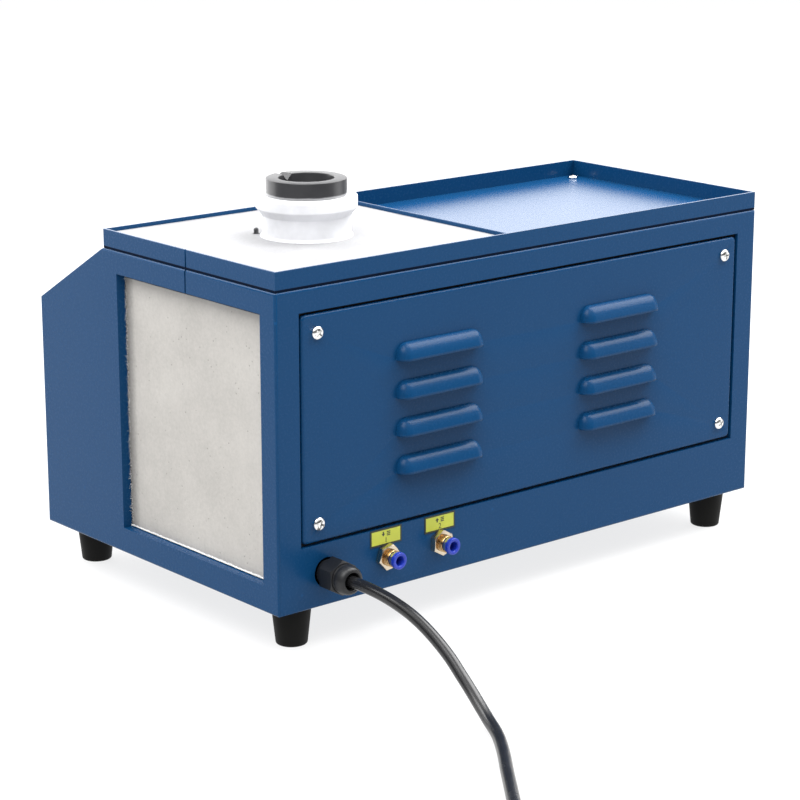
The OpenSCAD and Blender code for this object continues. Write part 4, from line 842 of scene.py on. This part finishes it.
def water_fitting(side, x, turned):
    place = on_rear(x, PORT_Z)
    low = (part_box(side + "_body")[0].y - REAR_Y) * 1000
    nut = bmesh.new()
    hexagon_nut(nut, NUT_ACROSS, BODY_R + BODY_GAP, NUT_HEIGHT,
                place @ Matrix.Rotation(math.radians(turned), 4, "Z"), NUT_ACROSS / 2 - NUT_CHAMFER)
    settled(side + "_bulkhead_nut", nut, "pale_brass", "case", side + "_nut", 0.35)
    turned_piece(side + "_threaded_body", fitting_body_profile(low), place, "brass",
                 "case", side + "_body", 0.5)
    ring = side + "_collet"
    stem_low = (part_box(ring)[0].y - REAR_Y) * 1000
    lip = millimetres([
        (3.0, stem_low), (4.4, stem_low), (4.4, 12.0), (5.4, 12.0), (5.75, 12.15), (5.9, 12.5), (5.9, 14.6),
        (5.8, 14.95), (5.55, 15.2), (5.2, 15.3), (4.1, 15.3), (3.75, 15.15), (3.45, 14.8), (3.3, 14.0),
        (3.2, 12.0), (3.0, 11.0)])
    turned_piece(side + "_release_ring", lip, place, "blue_ring", ring, ring, 0.5)
    spacer = millimetres([
        (4.42, 9.55), (5.05, 9.55), (5.25, 9.75), (5.25, 11.7), (5.05, 11.95), (4.42, 11.95)])
    turned_piece(side + "_ring_spacer", spacer, place, "pale_ring", ring)


water_fitting("inlet", INLET_X, 12)
water_fitting("outlet", OUTLET_X, 30)


# Labels above the ports: a dark border, an arrow, three bars and a plain number
LABEL_SIZE = (0.025, 0.0095)
LABEL_UP = 0.0138
LABEL_FACE = 0.0003
LABEL_BORDER = 0.0012
ARROW_AT = Vector((-0.0024, 0.0020))
ARROW_HALF = 0.0016
ARROW_HEAD = 0.0018
STEM_DOWN = 0.0025
STEM_SIZE = (0.0011, 0.0015)
LINES_AT = Vector((0.0022, 0.0008))
LINE_STEP = 0.0012
LINE_SIZE = (0.0030, 0.0007)
NUMBER_HEIGHT = 0.0038
NUMBER_DOWN = 0.0026
INK = 0.00004


def port_label(name, port_x, number, points_up):
    place = on_rear(port_x, PORT_Z + LABEL_UP, LABEL_FACE)
    shape = bmesh.new()
    wide, high = LABEL_SIZE
    line = LABEL_BORDER
    for side in (-1, 1):
        bar(shape, (0, side * (high + line) / 2), (wide + 2 * line, line), -LABEL_FACE, 0.0, place)
        bar(shape, (side * (wide + line) / 2, 0), (line, high), -LABEL_FACE, 0.0, place)
    lean = 1 if points_up else -1
    x, tip = ARROW_AT.x, ARROW_AT.y + lean * ARROW_HALF
    wing = tip - lean * ARROW_HEAD
    prism(shape, [(x, tip), (x - ARROW_HALF, wing), (x + ARROW_HALF, wing)], 0.0, INK, place)
    bar(shape, (x, tip - lean * STEM_DOWN), STEM_SIZE, 0.0, INK, place)
    for k in range(3):
        bar(shape, (LINES_AT.x, LINES_AT.y + LINE_STEP * k), LINE_SIZE, 0.0, INK, place)
    below = place @ Matrix.Translation((0, -NUMBER_DOWN, INK / 2))
    take(shape, lettering(number, NUMBER_HEIGHT, below, INK / 2))
    settled(name, shape, "ink", "case", smooth_angle=0.3)


port_label("inlet_label_marks", INLET_X, "1", False)
port_label("outlet_label_marks", OUTLET_X, "2", True)


# Screws with a cross recess
SCREW_STUB = 0.001


def carved(mesh, cutter):
    """A mesh with the shape of another cut out of it."""
    whole, tool = [new_object("carved", each) for each in (mesh, cutter)]
    cut = whole.modifiers.new("cut", "BOOLEAN")
    cut.object = tool
    cut.operation = "DIFFERENCE"
    cut.solver = "EXACT"
    made = final_mesh(whole)
    bpy.data.objects.remove(tool)
    return made


def screw_head(radius, height):
    """A domed head round the z axis, with a cross recess and a stub below."""
    dome = bmesh.new()
    steps = 10
    turns = [math.pi / 2 * k / steps for k in range(steps)]
    arc = [(radius * math.cos(t) ** 0.8, height * (0.2 + 0.8 * math.sin(t))) for t in turns]
    stub = [(0, -SCREW_STUB), (radius * 0.5, -SCREW_STUB), (radius * 0.5, 0), (radius * 0.97, 0)]
    lathe(dome, stub + arc + [(0, height)], Matrix.Identity(4), segments=48)
    outward(dome)
    recess = bmesh.new()
    wide, long, deep = 0.26 * radius, 1.16 * radius, 0.35 * height
    cross = [(wide, wide), (wide, long), (-wide, long), (-wide, wide), (-long, wide), (-long, -wide),
             (-wide, -wide), (-wide, -long), (wide, -long), (wide, -wide), (long, -wide), (long, wide)]
    prism(recess, [(x / 2, y / 2) for x, y in cross], deep, 2 * height, Matrix.Identity(4))
    outward(recess)
    return carved(mesh_of(dome), mesh_of(recess))


def screw_heads(name, node, places, radius, height):
    shape = bmesh.new()
    head = screw_head(radius, height)
    for place in places:
        copy = head.copy()
        copy.transform(place)
        take(shape, copy)
    bpy.data.meshes.remove(head)
    settled(name, shape, "screw", "case", node, 0.5)


COVER_HEAD = (0.0046, 0.003)
TRAY_HEAD = (0.0041, 0.0026)
TRAY_HEAD_INSET = Vector((0.0036, 0.0036, 0.0))
rear_spots = [on_rear(x, z) @ Matrix.Rotation(0.6 + 1.1 * k, 4, "Z") for k, (x, z) in enumerate(COVER_SCREWS)]
screw_heads("cover_screw_heads", "rear_cover_screws", rear_spots, *COVER_HEAD)
screws_low, screws_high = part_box("top_tray_screws")
near, far = screws_low + TRAY_HEAD_INSET, screws_high - TRAY_HEAD_INSET
plate_z = TRAY_LOW.z + SHEET
tray_spots = [Matrix.Translation((x, y, plate_z)) for x in (near.x, far.x) for y in (near.y, far.y)]
screw_heads("tray_screw_heads", "top_tray_screws", tray_spots, *TRAY_HEAD)


# The crucible with its pouring notch, the gasket round it and the probe beside it
CUP_LOW, CUP_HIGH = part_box("crucible")
CUP_AXIS = Matrix.Translation((*middle("crucible").xy, 0))
CUP_BORE = 0.019
CUP_FLOOR = CUP_LOW.z + 0.014
NOTCH_ANGLE = math.radians(-85)
NOTCH_OVER = 0.002
# How far past the wall the notch is cut, and its half width and depth there
NOTCH_BORE = (0.003, 0.0048, 0.0052)
NOTCH_SIDE = (0.002, 0.0026, 0.0018)
GASKET_R = (0.02785, 0.0284)
GASKET_Z = (-0.004, -0.0001)
PROBE_AT = (0.024, -0.0255)


def notch_cutter(radius, top):
    """A V that widens and deepens from the outside of the rim to the bore."""
    shape = bmesh.new()
    rings = []
    over = top + NOTCH_OVER
    for wall, outward_by, (past, half, deep) in ((CUP_BORE, -1, NOTCH_BORE), (radius, 1, NOTCH_SIDE)):
        along = wall + outward_by * past
        wide = half * (deep + NOTCH_OVER) / deep
        corners = ((-wide, over), (0.0, top - deep), (wide, over))
        rings.append([shape.verts.new((along, y, z)) for y, z in corners])
    shape.faces.new(rings[0])
    shape.faces.new(rings[1][::-1])
    join_rings(shape, *rings)
    outward(shape)
    mesh = mesh_of(shape)
    mesh.transform(CUP_AXIS @ Matrix.Rotation(NOTCH_ANGLE, 4, "Z"))
    return mesh


def graphite_crucible():
    radius = (CUP_HIGH.x - CUP_LOW.x) / 2
    top, low = CUP_HIGH.z, CUP_LOW.z
    shape = bmesh.new()
    lathe(shape, [(0, low), (radius - 0.001, low), (radius, low + 0.001), (radius, top - 0.0008),
                  (radius - 0.0002, top - 0.0003), (radius - 0.0008, top), (CUP_BORE + 0.0007, top),
                  (CUP_BORE + 0.0002, top - 0.0003), (CUP_BORE, top - 0.0009), (CUP_BORE, CUP_FLOOR + 0.006),
                  (CUP_BORE - 0.0018, CUP_FLOOR + 0.0018), (CUP_BORE - 0.006, CUP_FLOOR), (0, CUP_FLOOR)],
          CUP_AXIS, segments=160)
    outward(shape)
    cup = bmesh.new()
    take(cup, carved(mesh_of(shape), notch_cutter(radius, top)))
    settled("graphite_crucible", cup, "graphite", "crucible", "crucible", 0.5)


def mouth_gasket():
    """A ring of ceramic paper in the gap between the crucible and its collar."""
    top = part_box("mouth_collar")[1].z
    low, high = [top + z for z in GASKET_Z]
    inner, outer = GASKET_R
    ring = [(inner, low), (outer, low), (outer, high), (inner, high)]
    turned_piece("mouth_gasket", ring, CUP_AXIS, "ceramic", "case", segments=128)


def temperature_probe():
    """The tip of a sheathed probe that stands in the hole beside the collar."""
    place = CUP_AXIS @ Matrix.Translation((*PROBE_AT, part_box("hearth_board")[1].z))
    tip = millimetres([(0, -8), (1.7, -8), (1.7, 2.9), (1.5, 3.5), (1.0, 3.9), (0.5, 4.1), (0, 4.15)])
    turned_piece("temperature_probe", tip, place, "graphite", "case", segments=40)


graphite_crucible()
mouth_gasket()
temperature_probe()


# Cable gland: the cap with its hexagon, its round nose and the mouth that the cord leaves
GLAND_ACROSS = 0.0214
GLAND_BORE = 0.0088
GLAND_FROM = 0.0058
GLAND_TALL = 0.0122
GLAND_CHAMFER = 0.0105


def gland_cap():
    place = on_rear(GLAND_X, PORT_Z)
    shape = bmesh.new()
    turned = place @ Matrix.Translation((0, 0, GLAND_FROM)) @ Matrix.Rotation(math.radians(30), 4, "Z")
    hexagon_nut(shape, GLAND_ACROSS, GLAND_BORE, GLAND_TALL, turned, GLAND_CHAMFER)
    lathe(shape, millimetres([
        (7.6, 17.0), (9.6, 17.0), (9.6, 18.2), (9.4, 18.7), (9.5, 19.2), (9.9, 19.7), (10.1, 20.6),
        (10.05, 22.0), (9.8, 23.7), (9.4, 25.3), (8.8, 26.5), (7.9, 27.2), (7.0, 27.5), (6.3, 27.3),
        (5.8, 26.7), (5.6, 25.8), (5.5, 21.5), (7.6, 20.6)]), place)
    settled("gland_dome_cap", shape, "nylon", "case", "gland_cap", 0.5)
    base = millimetres([(5.6, 0), (8.5, 0), (8.8, 0.4), (8.8, 5.7), (5.6, 5.7)])
    turned_piece("gland_base", base, place, "nylon", "case", "gland_body", 0.5)


gland_cap()


# Feet: moulded rubber cones with a rounded tread
FOOT_TAPER = 0.8
FOOT_TREAD = 0.0016


def tapered_foot(name):
    low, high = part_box(name)
    top_r = (high.x - low.x) / 2
    low_r = top_r * FOOT_TAPER
    tall = high.z - low.z
    turns = [math.pi / 2 * k / 5 for k in range(6)]
    corner = [(low_r - FOOT_TREAD * (1 - math.sin(t)), FOOT_TREAD * (1 - math.cos(t))) for t in turns]
    cone = [(0, 0)] + corner + [(top_r, tall - 0.001), (top_r - 0.0003, tall), (0, tall)]
    place = Matrix.Translation((*middle(name).xy, low.z))
    turned_piece(name + "_cone", cone, place, "foot", "case", name, 0.6, 72)


for foot in FEET.split():
    tapered_foot(foot)


# End window: a fibre fringe, a bead of cement and dark strips of painted shade in the gaps where the board
# meets its frame
BOARD_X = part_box("end_board")[1].x
CEMENT = 0.0005
SHADE = 0.00012


def ragged_strip(shape, start, end, inward, widths, thick, rng, step=0.0016):
    """A thin strip along an edge of the window, whose inner side wanders between two widths."""
    span = end - start
    count = max(2, int(span.length / step))
    edge = [start + span * k / count for k in range(count + 1)]
    inner = [point + inward * rng.uniform(*widths) for point in edge]
    for k in range(count):
        low = [edge[k], edge[k + 1], inner[k + 1], inner[k]]
        base = [shape.verts.new((BOARD_X, p.x, p.y)) for p in low]
        rise = [thick, thick] + [0.4 * (rng.uniform(0.5, 1.0) * thick if k else thick) for _ in range(2)]
        top = [shape.verts.new((BOARD_X + up, p.x, p.y)) for up, p in zip(rise, low)]
        shape.faces.new(top)
        join_rings(shape, base, top)


def window_cement():
    rng = random.Random(7)
    shape = bmesh.new()
    gap = Vector((0, 0.0007))
    low_right = Vector((WINDOW_HIGH.x, WINDOW_LOW.y))
    high_left = Vector((WINDOW_LOW.x, WINDOW_HIGH.y))
    ragged_strip(shape, WINDOW_LOW + gap, low_right + gap, Vector((0, 1)), (0.0007, 0.0014), CEMENT, rng)
    ragged_strip(shape, low_right, WINDOW_HIGH, Vector((-1, 0)), (0.0006, 0.0010), CEMENT, rng)
    bmesh.ops.remove_doubles(shape, verts=shape.verts, dist=1e-6)
    settled("window_cement", shape, "sealant", "case", smooth_angle=0.9)
    # Painted shade: thin dark strips along the board's bottom, left and top edges, where the gaps fall into
    # shade
    dark = bmesh.new()
    ragged_strip(dark, WINDOW_LOW, low_right, Vector((0, 1)), (0.0006, 0.0007), SHADE, rng, 0.02)
    ragged_strip(dark, WINDOW_LOW, high_left, Vector((1, 0)), (0.0005, 0.0012), SHADE, rng)
    ragged_strip(dark, high_left, WINDOW_HIGH, Vector((0, -1)), (0.0030, 0.0031), SHADE, rng, 0.02)
    settled("window_gap_shade", dark, "painted_gap_shade", "case", smooth_angle=0.9)


window_cement()


# Trees that scatter copies of a shape: the dial's ticks and the window's stray fibres
def scatter(tree, result, spots, shape, euler, finish):
    """End a tree with a copy of a shape on each spot, turned and with its finish."""
    turned = output(tree, "FunctionNodeEulerToRotation", {0: euler})
    copies = output(tree, "GeometryNodeInstanceOnPoints", {
        "Points": spots, "Instance": shape, "Rotation": turned})
    real = output(tree, "GeometryNodeRealizeInstances", {"Geometry": copies})
    done = output(tree, "GeometryNodeSetMaterial", {"Geometry": real, "Material": finishes[finish]})
    put(tree, result["Geometry"], done)


def dial_scale_tree():
    """Ticks spread over an arc, each a small bar that points to the centre."""
    tree, given, result = geometry_tree("dial_scale", {
        "Count": 31, "Radius": 0.0165, "Tick Length": 0.002, "Tick Width": 0.0004, "Thickness": 0.00006,
        "From": math.radians(-60), "Sweep": math.radians(300)})
    line = output(tree, "GeometryNodeMeshLine", {"Count": given["Count"], "Offset": (0, 0, 0)})
    gaps = calc(tree, "SUBTRACT", given["Count"], 1.0)
    part = calc(tree, "DIVIDE", output(tree, "GeometryNodeInputIndex"), gaps)
    turn = calc(tree, "ADD", given["From"], calc(tree, "MULTIPLY", part, given["Sweep"]))
    across = calc(tree, "MULTIPLY", calc(tree, "COSINE", turn), given["Radius"])
    up = calc(tree, "MULTIPLY", calc(tree, "SINE", turn), given["Radius"])
    spot = output(tree, "ShaderNodeCombineXYZ", {0: across, 1: up})
    spots = output(tree, "GeometryNodeSetPosition", {"Geometry": line, "Position": spot})
    parts = [given[key] for key in ("Tick Length", "Tick Width", "Thickness")]
    size = output(tree, "ShaderNodeCombineXYZ", dict(enumerate(parts)))
    tick = output(tree, "GeometryNodeMeshCube", {"Size": size})
    scatter(tree, result, spots, tick, output(tree, "ShaderNodeCombineXYZ", {2: turn}), "mark")
    return tree


def fibre_fringe_tree():
    """Short stray fibres along an upright edge, each leaning its own way."""
    tree, given, result = geometry_tree("fibre_fringe", {
        "Count": 420, "Length": 0.18, "Fibre": 0.0024, "Fibre Radius": 0.00011, "Scatter": 0.0011, "Seed": 5})
    step = calc(tree, "DIVIDE", given["Length"], calc(tree, "SUBTRACT", given["Count"], 1.0))
    offset = output(tree, "ShaderNodeCombineXYZ", {2: step})
    line = output(tree, "GeometryNodeMeshLine", {"Count": given["Count"], "Offset": offset})
    reach = output(tree, "ShaderNodeCombineXYZ", {1: given["Scatter"], 2: given["Scatter"]})
    jitter, lean = [
        output(tree, "FunctionNodeRandomValue", {0: low, 1: high, "Seed": given["Seed"]},
               data_type="FLOAT_VECTOR")
        for low, high in (((0, 0, 0), reach), ((0.2, -0.5, 0.0), (2.9, 0.9, 6.28)))]
    spots = output(tree, "GeometryNodeSetPosition", {"Geometry": line, "Offset": jitter})
    fibre = output(tree, "GeometryNodeMeshCone", {
        "Vertices": 4, "Radius Top": 0.0, "Radius Bottom": given["Fibre Radius"], "Depth": given["Fibre"]})
    scatter(tree, result, spots, fibre, lean, "sealant")
    return tree


def grown(tree, place, **sizes):
    """The plain mesh that a tree makes with the given sizes, put in its place."""
    holder = new_object("grown", bpy.data.meshes.new("grown"))
    modifier = holder.modifiers.new("grown", "NODES")
    modifier.node_group = tree
    for item in tree.interface.items_tree:
        key = item.name.replace(" ", "_")
        if item.in_out == "INPUT" and key in sizes:
            modifier[item.identifier] = sizes[key]
    mesh = final_mesh(holder)
    mesh.transform(place)
    return mesh


FRINGE_IN = Vector((0.0003, 0.0004, 0.001))
FRINGE_SHORT = 0.003


def fringe_of_fibres():
    shape = bmesh.new()
    place = Matrix.Translation(Vector((BOARD_X, *WINDOW_LOW)) + FRINGE_IN)
    take(shape, grown(fibre_fringe_tree(), place, Length=WINDOW_HIGH.y - WINDOW_LOW.y - FRINGE_SHORT))
    settled("window_fibres", shape, "sealant", "case")


fringe_of_fibres()


# Control panel: dial scale, switch and button signs, meter digits
KNOB_X = middle("power_knob").x
SWITCH_X = middle("switch_frame").x
METER_X = middle("meter_window").x
START_X = middle("start_button").x
STOP_X = middle("stop_button").x
BUTTON_UP = -0.010
BUTTON_TOP = 0.0075
KNOB_TOP = 0.0186
METER_FACE = 0.0054
DIAL_NUMBER_R = 0.0226
DIAL_NUMBER_HEIGHT = 0.0034
ROCKER_PIVOT = 0.0005
ROCKER_REST = math.radians(-10)
ROCKER_DIP = math.atan2(1.6, 8.33)
ROCKER_SIGN = Vector((0.0, 0.0046, 0.00219))
MARK = 0.00006
SINK = -0.0002


def ring_mark(shape, place, outer, inner):
    lathe(shape, [(inner, 0.0), (outer, 0.0), (outer, MARK), (inner, MARK)], place, segments=48)


def dial_marks():
    """Ticks and the numbers 0 to 10 round the power knob."""
    ticks = dial_scale_tree()
    place = on_slope(KNOB_X, 0.0, PANEL_TOP + MARK / 2)
    shape = bmesh.new()
    take(shape, grown(ticks, place, Count=51))
    take(shape, grown(ticks, place, Count=11, Radius=0.0172, Tick_Length=0.0034, Tick_Width=0.0007))
    for number in range(0, 11, 2):
        spot = Matrix.Translation(polar(DIAL_NUMBER_R, math.radians(240 - 30 * number)))
        take(shape, lettering(str(number), DIAL_NUMBER_HEIGHT, place @ spot, MARK / 2))
    settled("dial_marks", shape, "mark", "case", smooth_angle=0.3)


def knob_pointer():
    shape = bmesh.new()
    bar(shape, (0, 0.0075), (0.0014, 0.0065), SINK, MARK, on_slope(KNOB_X, 0.0, KNOB_TOP))
    settled("knob_pointer", shape, "mark", "power_knob", smooth_angle=0.3)


def button_signs():
    start = bmesh.new()
    bar(start, (0, 0), (0.0013, 0.007), SINK, MARK, on_slope(START_X, BUTTON_UP, BUTTON_TOP))
    settled("start_sign", start, "mark", "start_button", smooth_angle=0.3)
    stop = bmesh.new()
    ring_mark(stop, on_slope(STOP_X, BUTTON_UP, BUTTON_TOP), 0.0036, 0.0024)
    settled("stop_sign", stop, "mark", "stop_button", smooth_angle=0.5)


def rocker_signs():
    """A bar and a ring on the two faces of the rocker, which lean to the middle."""
    seat = on_slope(SWITCH_X, 0.0, PANEL_TOP + ROCKER_PIVOT) @ Matrix.Rotation(ROCKER_REST, 4, "X")
    shape = bmesh.new()
    for side in (-1, 1):
        spot = Matrix.Translation((0, side * ROCKER_SIGN.y, ROCKER_SIGN.z))
        face = seat @ spot @ Matrix.Rotation(side * ROCKER_DIP, 4, "X")
        if side > 0:
            bar(shape, (0, 0), (0.0009, 0.0042), SINK, MARK, face)
        else:
            ring_mark(shape, face, 0.0022, 0.0014)
    settled("rocker_signs", shape, "mark", "power_rocker", smooth_angle=0.5)


# Where each segment of a digit stands, in halves of its width and height, and which ones are lit
SEGMENTS = {
    "a": (0, 1), "b": (1, 0.5), "c": (1, -0.5), "d": (0, -1), "e": (-1, -0.5), "f": (-1, 0.5), "g": (0, 0)}
LIT = {"0": "abcdef", "1": "bc", "4": "bcfg", "6": "acdefg"}


def meter_digits(reading="1064"):
    shape = bmesh.new()
    wide, high, stroke, pitch = 0.0068, 0.0140, 0.0015, 0.0122
    for k, digit in enumerate(reading):
        place = on_slope(METER_X + (k - (len(reading) - 1) / 2) * pitch, 0.0, METER_FACE)
        for key in LIT[digit]:
            right, top = SEGMENTS[key]
            upright = top in (0.5, -0.5)
            size = (stroke, high / 2 - 1.2 * stroke) if upright else (wide - 1.2 * stroke, stroke)
            bar(shape, (right * wide / 2, top * high / 2), size, 0.0, MARK, place)
    settled("meter_digits", shape, "digits", "case", smooth_angle=0.3)


dial_marks()
knob_pointer()
button_signs()
rocker_signs()
meter_digits()


# Camera, floor and light
def aimed(thing, target):
    thing.rotation_mode = "QUATERNION"
    thing.rotation_quaternion = (Vector(target) - thing.location).to_track_quat("-Z", "Y")


CAMERA_AT = (1.1467, 1.3310, 0.5774)
CAMERA_TARGET = (-0.0049, -0.0246, 0.1053)
camera = new_object("camera", bpy.data.cameras.new("camera"))
camera.location = CAMERA_AT
camera.data.lens = 110.8
camera.data.sensor_width = 36.0
aimed(camera, CAMERA_TARGET)
scene.camera = camera


def soft_box(name, location, target, size, power):
    lamp = bpy.data.lights.new(name, "AREA")
    lamp.shape = "RECTANGLE"
    lamp.size, lamp.size_y = size
    lamp.energy = power
    holder = new_object(name, lamp)
    holder.location = location
    aimed(holder, target)


soft_box("right_soft_box", (-1.6, 0.9, 0.45), (0, 0.1, 0.12), (1.1, 0.7), 3)
soft_box("high_soft_box", (-1.0, 0.3, 1.5), (0, 0.12, 0.15), (1.6, 1.6), 52)
soft_box("back_soft_box", (-1.05, -1.26, 0.74), (0, 0, 0.25), (2.9, 0.9), 26)
soft_box("left_soft_box", (1.0, 0.45, 1.55), (0.12, 0.03, 0.2), (1.2, 1.2), 22)
soft_box("edge_soft_box", (0.6, -1.4, 1.4), (0.2, 0, 0.2), (1.6, 1.0), 25)
soft_box("far_soft_box", (0.3, -1.1, 0.35), (0.12, 0.03, 0.25), (1.6, 0.5), 4.5)


def overhead_light(low, high, dim, bright):
    """Studio light that grows from the horizon upwards, as below a wide ceiling panel."""
    world = bpy.data.worlds.new("studio")
    world.use_nodes = True
    tree = world.node_tree
    lamp = tree.nodes["Background"].inputs
    lamp["Color"].default_value = (1.0, 1.0, 1.0, 1)
    put(tree, lamp["Strength"], spread(tree, along_axis(tree, 2, "Generated"), low, high, dim, bright))
    scene.world = world


overhead_light(0.3, 0.9, 0.09, 1.7)

FLOOR_HALF = 6.0
floor_material = finish_of("pale_floor", Roughness=0.9, Base_Color=(0.15, 0.15, 0.15, 1),
                           Emission_Color=(1, 1, 1, 1), Emission_Strength=0.8)[0]
floor_shape = bmesh.new()
bmesh.ops.create_grid(floor_shape, x_segments=1, y_segments=1, size=FLOOR_HALF)
floor_mesh = mesh_of(floor_shape)
floor_mesh.materials.append(floor_material)
floor = new_object("floor", floor_mesh)
